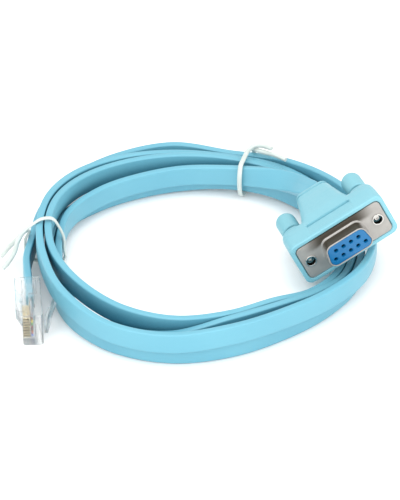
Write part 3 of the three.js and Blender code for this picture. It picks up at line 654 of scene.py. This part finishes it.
def paint_shade_in_hollows(made, shader, reach, shade):
    """Painted shade: multiplies the base colour by a shade colour where a piece's own surfaces close in on a
    point.
    """
    plain = shader.inputs["Base Color"].links[0].from_socket
    closeness = add_node(made, "ShaderNodeAmbientOcclusion", Distance=reach)
    closeness.only_local = True
    ramp = add_node(made, "ShaderNodeValToRGB")
    ramp.color_ramp.elements[0].color = (*shade, 1)
    ramp.color_ramp.elements[0].position = 0.1
    ramp.color_ramp.elements[1].position = 0.6
    mix = add_node(made, "ShaderNodeMix", Factor=1.0)
    mix.data_type = "RGBA"
    mix.blend_type = "MULTIPLY"
    made.node_tree.links.new(closeness.outputs["AO"], ramp.inputs["Fac"])
    made.node_tree.links.new(plain, mix.inputs["A"])
    made.node_tree.links.new(ramp.outputs["Color"], mix.inputs["B"])
    made.node_tree.links.new(mix.outputs["Result"], shader.inputs["Base Color"])


def jacket_vinyl():
    """The cable's jacket: faint lengthwise drawing marks, slow shifts of colour along it, and painted
    shade, a deeper teal, between its turns."""
    made, shader = new_finish("jacket_vinyl", JACKET_COLOURS[0], 0.42)
    place = lay_place(made)
    ramp_to(made, noise_on(made, place, 0.035, 2.0), shader.inputs["Base Color"], *JACKET_COLOURS)
    streaks = noise_on(made, place, 1.0, 3.0, (0.02, 2.2, 2.2))
    ramp_to(made, streaks, shader.inputs["Roughness"], 0.36, 0.5)
    bump_from(made, streaks, shader, 0.00003)
    # Painted shade between the turns: the base colour darkens where the jacket's own surfaces close in.
    paint_shade_in_hollows(made, shader, 0.012, JACKET_PAINTED_SHADE)
    return made


def sheet_metal(name, colour, roughness, brushing=(1, 1, 1)):
    """Plated metal: soft blotches in its colour, and fine rolling marks in its gloss and bump."""
    made, shader = new_finish(name, colour, roughness, 1.0)
    place = object_place(made)
    dull = tuple(0.82 * c for c in colour)
    ramp_to(made, noise_on(made, place, 220.0, 4.0), shader.inputs["Base Color"], dull, colour)
    marks = noise_on(made, place, 1500.0, 3.0, brushing)
    ramp_to(made, marks, shader.inputs["Roughness"], roughness - 0.08, roughness + 0.1)
    bump_from(made, marks, shader, 0.000006)
    return made


def shell_steel():
    """The flange's sheet: dull tin plate with a painted reflection, dark brown painted into its colour
    above its middle and on the skirt's upper wall, but not on the skirt's root and rim.
    The painted reflection follows the point's place on the connector's face, kept on the mesh as lay."""
    made = sheet_metal("tinned_steel", STEEL_COLOUR, 0.4, (1, 1, 0.15))
    shader = made.node_tree.nodes["Principled BSDF"]
    shader.inputs["Metallic"].default_value = 0.25
    plain = shader.inputs["Base Color"].links[0].from_socket
    place = lay_place(made)
    parts = add_node(made, "ShaderNodeSeparateXYZ")
    made.node_tree.links.new(place, parts.inputs["Vector"])
    wavy = worked_out(made, "ADD", parts.outputs["Y"], noise_on(made, place, 0.35, 2.0))
    above = rising(made, wavy, *REFLECTION_HEIGHTS, "SMOOTHSTEP")
    side = worked_out(made, "ABSOLUTE", parts.outputs["X"])
    central = rising(made, side, *REFLECTION_SIDES, "SMOOTHSTEP")
    depth = rising(made, parts.outputs["Z"], 0, SKIRT_REACH, "LINEAR")
    rims = add_node(made, "ShaderNodeValToRGB")
    rims.color_ramp.interpolation = "CONSTANT"
    rims.color_ramp.elements[0].color = (1, 1, 1, 1)
    root_end, wall_start, rim_start = SKIRT_SHARES
    rims.color_ramp.elements[1].position = root_end
    rims.color_ramp.elements[1].color = (0, 0, 0, 1)
    rims.color_ramp.elements.new(wall_start).color = (1, 1, 1, 1)
    rims.color_ramp.elements.new(rim_start).color = (0, 0, 0, 1)
    made.node_tree.links.new(depth, rims.inputs["Fac"])
    # Painted reflection: dark brown painted where the sheet would reflect something dark.
    painted_reflection = worked_out(made, "MULTIPLY", above, central)
    between_rims = worked_out(made, "MULTIPLY", painted_reflection, rims.outputs["Color"])
    mix = add_node(made, "ShaderNodeMix")
    mix.data_type = "RGBA"
    mix.inputs["B"].default_value = (*PAINTED_REFLECTION_DARK, 1)
    made.node_tree.links.new(between_rims, mix.inputs["Factor"])
    made.node_tree.links.new(plain, mix.inputs["A"])
    made.node_tree.links.new(mix.outputs["Result"], shader.inputs["Base Color"])
    return made


def clear_plastic():
    """Water-clear moulding, a little cloudy, with a wavy skin."""
    made, shader = new_finish("clear_plastic", CLEAR_COLOUR, 0.08)
    shader.inputs["Transmission Weight"].default_value = 0.95
    shader.inputs["IOR"].default_value = 1.24
    shader.inputs["Alpha"].default_value = 0.7
    place = object_place(made)
    ramp_to(made, noise_on(made, place, 500.0), shader.inputs["Roughness"], 0.05, 0.16)
    bump_from(made, noise_on(made, place, 350.0, 2.0), shader, 0.00002)
    return made


def hood_plastic(name, colours, roughness, grain):
    """The hood's moulding, with painted shade deepening its grooves."""
    made = moulded_plastic(name, colours, roughness, grain)
    # Painted shade in the grooves.
    paint_shade_in_hollows(made, made.node_tree.nodes["Principled BSDF"], 0.003, HOOD_PAINTED_SHADE)
    return made


JACKET = jacket_vinyl()
HOOD_BLUE = hood_plastic("hood_moulding", HOOD_COLOURS, 0.45, 0.000008)
KNOB_BLUE = hood_plastic("knob_moulding", KNOB_COLOURS, 0.48, 0.000010)
INSULATOR_BLUE = moulded_plastic("insulator_moulding", INSULATOR_COLOURS, 0.38, 0.000006)
TIE_WHITE = moulded_plastic("tie_vinyl", TIE_COLOURS, 0.42, 0.000012, FINE_MOTTLE)
TINNED_STEEL = shell_steel()
# Painted shade: a near-black metal for the faces deep in the eyelets' bores
BORE_SHADE_FINISH = sheet_metal("painted_shade_in_bore", BORE_SHADE_COLOUR, 0.6)
NICKEL = sheet_metal("nickel", NICKEL_COLOUR, 0.26)
GOLD = sheet_metal("contact_gold", GOLD_COLOUR, 0.3)
CLEAR = clear_plastic()


# Flat cable
def ribbon_route():
    """Rows of the ribbon's middle, outward and width directions, in the loop's frame.
    The lead's width leans outward from upright; the turns stand upright; the ends follow the
    connector's and the plug's own axes."""
    neck = [
        np.concatenate([
            CONNECTOR_AT + depth * CONNECTOR_AXES[2] - LOOP_AT, -CONNECTOR_AXES[1], CONNECTOR_AXES[0],
        ])
        for depth in NECK_STATIONS
    ]
    lead = np.array(LEAD, float)
    level = unit(lead[:, :3] * (1, 1, 0))
    lean = np.radians(lead[:, 3:])
    leaning = np.hstack([
        lead[:, :3], level * np.cos(lean) - UP * np.sin(lean), UP * np.cos(lean) + level * np.sin(lean),
    ])
    heading, radius, low = np.array(TURNS, float).T
    outward = at_heading(heading)
    middle = outward * radius[:, None] + UP * (low + CABLE_WIDTH / 2)[:, None]
    turns = np.hstack([middle, outward, np.tile(UP, (len(heading), 1))])
    entry = [
        np.concatenate([PLUG_AT + depth * PLUG_AXES[2] - LOOP_AT, -PLUG_AXES[0], UP])
        for depth in PLUG_STATIONS
    ]
    return np.vstack([neck, leaning, turns, entry])


def flat_cable():
    """A rounded rectangle carried along the ribbon's route: at each step the width is squared
    to the route's direction, and outward is the direction crossed with the width."""
    rows = smooth_through(ribbon_route(), CABLE_STEP)
    middle = rows[:, :3]
    forward = unit(np.gradient(middle, axis=0))
    width = rows[:, 6:9]
    width = unit(width - (width * forward).sum(axis=1, keepdims=True) * forward)
    outward = np.cross(forward, width)
    section = outline(box_corners(CABLE_THICKNESS / 2, CABLE_WIDTH / 2), CABLE_CORNER, 5)()
    rings = (
        middle[:, None]
        + outward[:, None] * section[None, :, :1]
        + width[:, None] * section[None, :, 1:]
    )
    shown = piece("flat_cable_jacket", lofted(rings), LOOP_AT, LOOP_AXES)
    run = np.concatenate([[0], np.cumsum(np.linalg.norm(np.diff(middle, axis=0), axis=1))])
    lay = np.stack(
        [
            np.repeat(run[:, None], len(section), axis=1),
            np.tile(section[:, 1], (len(run), 1)),
            np.tile(section[:, 0], (len(run), 1)),
        ],
        axis=-1,
    )
    keep_lay(shown, lay)
    dressed(shown, JACKET, "cable", ["flat_cable"], 60)
    return shown, in_part_frame(middle, LOOP_AT, LOOP_AXES), run[-1] * MM


# Twist ties
def twist_tie(name, node, heading, points, twists):
    """A flat coated wire along its route. Its broad side lies along the bundle, or outward where
    it runs that way itself, and rolls about the route where the ends are twisted together.
    twists holds, for each twisted stretch, its start and end along the route and its turns.
    The section is an ellipse with squarer sides, and a bell of height on each side for the wire.
    It is fuller where it is twisted."""
    outward = at_heading(heading)
    along = np.cross(UP, outward)
    radius, shift, height = np.array(points, float).T
    route = outward * radius[:, None] + along * shift[:, None] + UP * height[:, None]
    middle = smooth_through(route, TIE_STEP)
    forward = unit(np.gradient(middle, axis=0))
    share = ((forward @ along) ** 2)[:, None]
    broad = along * (1 - share) + outward * share
    broad = unit(broad - (broad * forward).sum(axis=1, keepdims=True) * forward)
    flat = np.cross(forward, broad)
    run = np.linspace(0, 1, len(middle))
    roll = sum(
        turns * 2 * math.pi * np.clip((run - start) / (end - start), 0, 1)
        for start, end, turns in twists
    )
    roll = np.broadcast_to(roll, run.shape)[:, None]
    wide = broad * np.cos(roll) + flat * np.sin(roll)
    thin = flat * np.cos(roll) - broad * np.sin(roll)
    angle = np.linspace(0, 2 * math.pi, 20, endpoint=False)
    rib = TIE_RIB * np.exp(-((np.cos(angle) / TIE_RIB_SPREAD) ** 2))
    across = TIE_HALF_WIDTH * np.cos(angle)
    rounded = np.sign(np.sin(angle)) * np.abs(np.sin(angle)) ** 0.8
    proud = (TIE_HALF_THICKNESS * (TIE_BODY + rib)) * rounded
    fuller = 1 + TIE_TWIST_FULLNESS * (roll != roll[len(roll) // 2])
    rings = (
        middle[:, None]
        + wide[:, None] * across[None, :, None]
        + (thin * fuller)[:, None] * proud[None, :, None]
    )
    shown = piece(name, lofted(rings), LOOP_AT, LOOP_AXES)
    return dressed(shown, TIE_WHITE, "cable", [node], 50)


# Nine-way connector
def skirt_outline():
    """The D: its broad side down."""
    return outline(
        [
            (-SKIRT_HALF_WIDE, -SKIRT_HALF_HEIGHT), (SKIRT_HALF_WIDE, -SKIRT_HALF_HEIGHT),
            (SKIRT_HALF_NARROW, SKIRT_HALF_HEIGHT), (-SKIRT_HALF_NARROW, SKIRT_HALF_HEIGHT),
        ],
        SKIRT_CORNER,
        10,
    )


def screw_places():
    """The two screws' sides and their places across the face."""
    return (("left", -SCREW_SPACING / 2), ("right", SCREW_SPACING / 2))


def contact_places():
    """Four holes over five, half a pitch apart."""
    rows = ((4, CONTACT_ROW_SPACING / 2), (5, -CONTACT_ROW_SPACING / 2))
    return [((i - (count - 1) / 2) * CONTACT_PITCH, y) for count, y in rows for i in range(count)]


def front_shell():
    """One drawn sheet: the flange's rounded plate, a quarter-round root whose inset grows with
    the sine while it climbs with the cosine, the D wall, its rolled rim and the wall inside."""
    plate = outline(box_corners(FLANGE_HALF_WIDTH, FLANGE_HALF_HEIGHT), FLANGE_CORNER, 10)
    skirt = skirt_outline()
    quarter = np.linspace(0, math.pi / 2, 7)
    half_wall = SKIRT_WALL / 2
    rings = [with_depth(plate(inset), depth) for inset, depth in FLANGE_RIM]
    rings += [
        with_depth(skirt(-SKIRT_ROOT * (1 - math.sin(a))), SKIRT_ROOT * (1 - math.cos(a))) for a in quarter
    ]
    rings += [
        with_depth(skirt(half_wall * (1 - math.cos(a))), SKIRT_REACH - half_wall * (1 - math.sin(a)))
        for a in np.linspace(0, math.pi, 9)
    ]
    rings += [with_depth(skirt(SKIRT_WALL), 0.0), with_depth(skirt(SKIRT_WALL), -FLANGE_THICKNESS)]
    shown = connector_piece("front_shell_sheet", lofted(rings, joined=True))
    hole = turned([
        (0, -SCREW_HOLE_REACH), (SCREW_HOLE, -SCREW_HOLE_REACH),
        (SCREW_HOLE, SCREW_HOLE_REACH), (0, SCREW_HOLE_REACH),
    ])
    cut(shown, [connector_piece("hole", hole, x) for _, x in screw_places()])
    keep_face_places(shown)
    return dressed(shown, TINNED_STEEL, "cable", ["front_shell"])


def insulator():
    """The D block inside the skirt, with a countersunk hole and a chamber for each contact."""
    skirt = skirt_outline()
    inset = SKIRT_WALL + INSULATOR_GAP
    body = slab(lambda more: skirt(inset + more), -INSULATOR_BACK, INSULATOR_TOP, INSULATOR_EDGE)
    shown = connector_piece("insulator_block", body)
    below = -INSULATOR_BACK - 1
    above = INSULATOR_TOP + 1
    throat = INSULATOR_TOP - HOLE_LENGTH
    hole = turned([
        (0, below), (CHAMBER_RADIUS, below), (CHAMBER_RADIUS, throat), (HOLE_RADIUS, throat),
        (HOLE_RADIUS, INSULATOR_TOP - HOLE_SINK), (HOLE_MOUTH, INSULATOR_TOP), (HOLE_MOUTH, above),
        (0, above),
    ])
    holes = gathered([moved_by(hole, (x, y, 0)) for x, y in contact_places()])
    cut(shown, [connector_piece("holes", holes)])
    return dressed(shown, INSULATOR_BLUE, "cable", ["insulator"])


def socket_contact(number, x, y):
    """A turned gold tube set back in its hole, its mouth flared by a rounded edge."""
    top = SKIRT_REACH - CONTACT_SETBACK
    corners = [
        (CONTACT_BORE, CONTACT_BACK), (CONTACT_RADIUS, CONTACT_BACK),
        (CONTACT_RADIUS, top), (CONTACT_BORE, top),
    ]
    profile = outline(corners, [0.03, 0.03, 0.08, 0.12], 4)()
    shown = connector_piece(f"socket_contact_tube_{number}", turned(profile, 32, True), x, y)
    return dressed(shown, GOLD, "cable", [f"socket_contact_{number}"])


def hood_shells():
    """The hood's solids in the connector's frame: a block whose front folds over into the
    flange's pocket, a housing for each screw, and a spine that narrows to the neck and folds
    into the cable's entry. Each is a stack of rounded rectangles."""
    block, housing, spine = (
        lofted([
            with_depth(outline(box_corners(half_x, half_y), corner, 8)(), depth)
            for depth, half_x, half_y, corner in sections
        ])
        for sections in (BLOCK_SECTIONS, HOUSING_SECTIONS, SPINE_SECTIONS)
    )
    return [block, *(moved_by(housing, (x, 0, 0)) for _, x in screw_places()), spine]


def step_between(values, low, high, edge):
    """Rises from 0 to 1 across each bound over the edge's width, and is 1 between them."""
    rise = np.clip((values - low) / edge + 0.5, 0, 1)
    fall = np.clip((high - values) / edge + 0.5, 0, 1)
    return rise * rise * (3 - 2 * rise) * fall * fall * (3 - 2 * fall)


def connector_hood():
    """The shells melted into one moulding on a fine grid of cells, with its corners relaxed.
    The bare label recess sinks where two smooth steps, across and along the hood, are both 1,
    and deepens towards the neck, where a narrow groove ends it. The neck is drawn in by a share
    of its width and height where the step between its ring's bounds is 1."""
    channel = turned([
        (0, -HOUSING_DEPTH - 1), (SCREW_CHANNEL, -HOUSING_DEPTH - 1), (SCREW_CHANNEL, 1), (0, 1),
    ])
    shells = bmesh.new()
    for shell in hood_shells():
        solid = mesh_object("hood_shell", *shell)
        cut(solid, [mesh_object("channel", *moved_by(channel, (x, 0, 0))) for _, x in screw_places()])
        shells.from_mesh(solid.data)
        bpy.data.objects.remove(solid)
    mesh = bpy.data.meshes.new("connector_hood_moulding")
    shells.to_mesh(mesh)
    shells.free()
    shown = bpy.data.objects.new("connector_hood_moulding", mesh)
    bpy.context.scene.collection.objects.link(shown)
    remesh = shown.modifiers.new("remesh", "REMESH")
    remesh.mode = "VOXEL"
    remesh.voxel_size = VOXEL
    relax = shown.modifiers.new("relax", "SMOOTH")
    relax.factor = RELAX_FACTOR
    relax.iterations = RELAX_ROUNDS
    after_modifiers(shown)
    places = points_of(shown).astype(float)
    x, y, z = places.T
    label = step_between(x, -RECESS_HALF_WIDTH, RECESS_HALF_WIDTH, RECESS_EDGE) * (y > UPPER_SIDE)
    recess = label * step_between(z, RECESS_BACK, RECESS_FRONT, RECESS_EDGE)
    groove = label * step_between(z, *GROOVE, GROOVE_EDGE)
    deeper = np.clip((RECESS_FRONT - z) / (RECESS_FRONT - RECESS_BACK), 0, 1)
    places[:, :2] *= 1 - NECK_RING_SHARE * step_between(z, *NECK_RING, NECK_RING_EDGE)[:, None]
    places[:, 1] -= recess * (RECESS_SINK + RECESS_SLOPE * deeper) + GROOVE_SINK * groove
    placed = in_part_frame(places, CONNECTOR_AT, CONNECTOR_AXES)
    shown.data.vertices.foreach_set("co", placed.astype(np.float32).ravel())
    shown.data.update()
    return dressed(shown, HOOD_BLUE, "cable", ["connector_hood"], 60)


def eyelet(side, x):
    """A turned ring through the flange's hole, its lip rolled over the face and painted shade in its bore."""
    corners = [
        (EYELET_BORE, EYELET_BACK), (EYELET_OUTSIDE, EYELET_BACK), (EYELET_OUTSIDE, EYELET_SEAT),
        (EYELET_LIP, EYELET_SEAT), (EYELET_LIP, EYELET_PROUD), (EYELET_BORE, EYELET_PROUD),
    ]
    profile = outline(corners, [0.04, 0.04, 0.02, 0.1, 0.16, 0.14], 5)()
    shown = connector_piece(f"{side}_eyelet_ring", turned(profile, closed=True), x)
    local = keep_face_places(shown)
    dressed(shown, NICKEL, "cable", [f"{side}_eyelet"])
    # Painted shade: faces deep in the bore get the near-black second finish.
    shown.data.materials.append(BORE_SHADE_FINISH)
    inside = np.hypot(local[:, 0] - x, local[:, 1]) < EYELET_BORE + EYELET_SHADE_SKIN
    deep = inside & (local[:, 2] < EYELET_SHADE_TOP)
    loops = np.empty(len(shown.data.loops), np.int32)
    shown.data.loops.foreach_get("vertex_index", loops)
    starts = np.empty(len(shown.data.polygons), np.int32)
    shown.data.polygons.foreach_get("loop_start", starts)
    painted_shade_faces = np.add.reduceat(deep[loops].astype(int), starts) > 1
    shown.data.polygons.foreach_set("material_index", painted_shade_faces.astype(np.int32))
    return shown


def thumbscrew(side, x):
    """The knob is a cylinder with a rounded front edge and a domed back, whose radius follows a
    cosine to a power below one. The screw's thread is a cosine of its length on its radius."""
    quarter = np.linspace(0, math.pi / 2, 15)
    back = KNOB_FRONT - KNOB_LENGTH
    dome = np.column_stack([KNOB_RADIUS * np.sin(quarter) ** 0.85, back + KNOB_DOME * (1 - np.cos(quarter))])
    brow = np.column_stack([
        KNOB_RADIUS - KNOB_EDGE * (1 - np.cos(quarter)), KNOB_FRONT - KNOB_EDGE * (1 - np.sin(quarter)),
    ])
    bore_end = KNOB_FRONT - KNOB_BORE_DEPTH
    bore = [(KNOB_BORE, KNOB_FRONT), (KNOB_BORE, bore_end), (0, bore_end)]
    knob = connector_piece(f"{side}_thumbscrew_grip", turned(np.vstack([dome, brow, bore]), 64), x)
    body = f"{side}_thumbscrew"
    dressed(knob, KNOB_BLUE, body, [f"{side}_thumbscrew_knob"])
    length = np.linspace(SCREW_START, SCREW_END, 240)
    wave = 1 - np.cos(2 * math.pi * length / THREAD_PITCH)
    thread = SCREW_RADIUS - THREAD_HALF_DEPTH * wave * (length > THREAD_START)
    profile = np.vstack([[(0, length[0])], np.column_stack([thread, length]), SCREW_TIP])
    shaft = connector_piece(f"{side}_thumbscrew_thread", turned(profile), x)
    dressed(shaft, NICKEL, body, [f"{side}_thumbscrew_shaft"])


# Modular plug
def stood_up(shell):
    """A shell drawn in the plug's side plane, with that plane's normal along the plug's height."""
    points, faces = shell
    return points[:, [0, 2, 1]], faces


def block_shell(u, v, w, edge=0.0):
    """A block between bounds in the plug's frame, its corners and rims rounded by an edge."""
    corners = [(u[0], w[0]), (u[1], w[0]), (u[1], w[1]), (u[0], w[1])]
    return stood_up(slab(outline(corners, max(edge, 0.03), 2), v[0], v[1], max(edge, 0.03), 2))


def plug_body():
    """The side outline drawn across the plug's width with rounded rims, less its mouth and the
    pockets for the jacket, the wires, the crimp bar and the eight blades."""
    side = slab(outline(PLUG_SIDE, PLUG_CORNERS, 4), -PLUG_HALF_WIDTH, PLUG_HALF_WIDTH, PLUG_EDGE)
    shown = plug_piece("plug_body_moulding", stood_up(side))
    pockets = [
        block_shell(*MOUTH, 0.3), block_shell(*JACKET_POCKET, 0.3),
        block_shell(*WIRE_POCKET, 0.2), block_shell(*CRIMP_POCKET, 0.2),
    ]
    height, run = BLADE_SLOT
    for v in (np.arange(len(WIRES)) - (len(WIRES) - 1) / 2) * WIRE_PITCH:
        pockets.append(block_shell(height, (v - BLADE_SLOT_HALF, v + BLADE_SLOT_HALF), run))
    cut(shown, [plug_piece("pocket", shell) for shell in pockets])
    return dressed(shown, CLEAR, "cable", ["plug_body"], 30)


def plug_latch():
    """A tongue with a broad shoulder and a narrow tail, leaning away from the body by its angle
    and thinning towards its tip."""
    plan = outline(LATCH_PLAN, LATCH_CORNERS, 4)
    points, faces = slab(plan, -LATCH_THICKNESS / 2, LATCH_THICKNESS / 2, LATCH_EDGE)
    half_width, length, thickness = points.T
    thickness = thickness * (1 - LATCH_TAPER * np.clip(length / LATCH_LENGTH, 0, 1))
    lean = math.radians(LATCH_ANGLE)
    placed = np.column_stack([
        LATCH_ROOT[0] + thickness * math.cos(lean) + length * math.sin(lean),
        half_width,
        LATCH_ROOT[1] + thickness * math.sin(lean) - length * math.cos(lean),
    ])
    shown = plug_piece("plug_latch_tongue", (placed, faces))
    return dressed(shown, CLEAR, "latch", ["plug_latch"], 30)


def plug_wire(number, colour):
    """A round wire that leaves the jacket at a close pitch and spreads to the blades' pitch."""
    rank = number - (len(WIRES) - 1) / 2
    stations = [(across, rank * pitch, along) for across, pitch, along in WIRE_FAN]
    middle = smooth_through(stations, WIRE_STEP)
    forward = unit(np.gradient(middle, axis=0))
    side = unit(np.cross(forward, (1.0, 0, 0)))
    other = np.cross(forward, side)
    angle = np.linspace(0, 2 * math.pi, 16, endpoint=False)[None, :, None]
    rings = middle[:, None] + WIRE_RADIUS * (side[:, None] * np.cos(angle) + other[:, None] * np.sin(angle))
    shown = plug_piece(f"{colour}_wire", lofted(rings))
    tint = tuple(0.75 * c + 0.08 for c in WIRE_COLOURS[colour])
    lighter = tuple(min(1.0, 1.2 * c + 0.01) for c in tint)
    finish = moulded_plastic(f"{colour}_insulation", (tint, lighter), 0.4, 0.000006, FINE_MOTTLE)
    return dressed(shown, finish, "cable", [f"conductor_{colour}"])


# Floor and light
def floor():
    """A plain white level sheet just under the part."""
    mesh = bpy.data.meshes.new("floor")
    corners = with_depth(box_corners(FLOOR_HALF, FLOOR_HALF), 0.0)
    mesh.from_pydata(corners.tolist(), [], [(0, 1, 2, 3)])
    sheet = bpy.data.objects.new("floor", mesh)
    sheet.location.z = -FLOOR_GAP
    bpy.context.scene.collection.objects.link(sheet)
    finish, shader = new_finish("white_paper", PAPER_COLOUR, 0.9)
    ramp_to(finish, noise_on(finish, object_place(finish), 400.0), shader.inputs["Roughness"], 0.85, 0.95)
    mesh.materials.append(finish)


def softbox(name, place, size, energy):
    """A square light that faces the part's origin."""
    light = bpy.data.objects.new(name, bpy.data.lights.new(name, "AREA"))
    light.data.shape = "SQUARE"
    light.data.size = size
    light.data.energy = energy
    light.location = place
    light.rotation_mode = "QUATERNION"
    light.rotation_quaternion = (-Vector(place)).to_track_quat("-Z", "Y")
    bpy.context.scene.collection.objects.link(light)


def studio():
    """An even white room with a broad light overhead and one from each side of the front."""
    world = bpy.data.worlds.new("studio")
    world.use_nodes = True
    background = world.node_tree.nodes["Background"]
    background.inputs["Color"].default_value = (*ROOM_COLOUR, 1)
    background.inputs["Strength"].default_value = ROOM_STRENGTH
    bpy.context.scene.world = world
    for light in SOFTBOXES:
        softbox(*light)
    bpy.context.scene.view_settings.view_transform = "Standard"


photographer()
cable, centreline, cable_length = flat_cable()
rear_tie = twist_tie(
    "rear_tie_wire", "rear_twist_tie", REAR_TIE_HEADING, REAR_TIE, [(0.0, 0.2, 0.5), (0.84, 1.0, 0.5)]
)
left_tie = twist_tie(
    "left_tie_wire", "left_twist_tie", LEFT_TIE_HEADING, LEFT_TIE, [(0.0, 0.14, 0.5), (0.8, 0.95, 0.5)]
)
front_shell()
insulator()
for number, (x, y) in enumerate(contact_places()):
    socket_contact(number + 1, x, y)
connector_hood()
for side, x in screw_places():
    eyelet(side, x)
    thumbscrew(side, x)
body = plug_body()
latch = plug_latch()
wires = [plug_wire(number, colour) for number, colour in enumerate(WIRES)]
blades = [frame["nodes"][f"contact_blade_{i + 1}"] for i in range(len(WIRES))]
for node in blades:
    node.data.materials.clear()
    node.data.materials.append(GOLD)

print("cable length in metres", round(cable_length, 4))

floor()
studio()
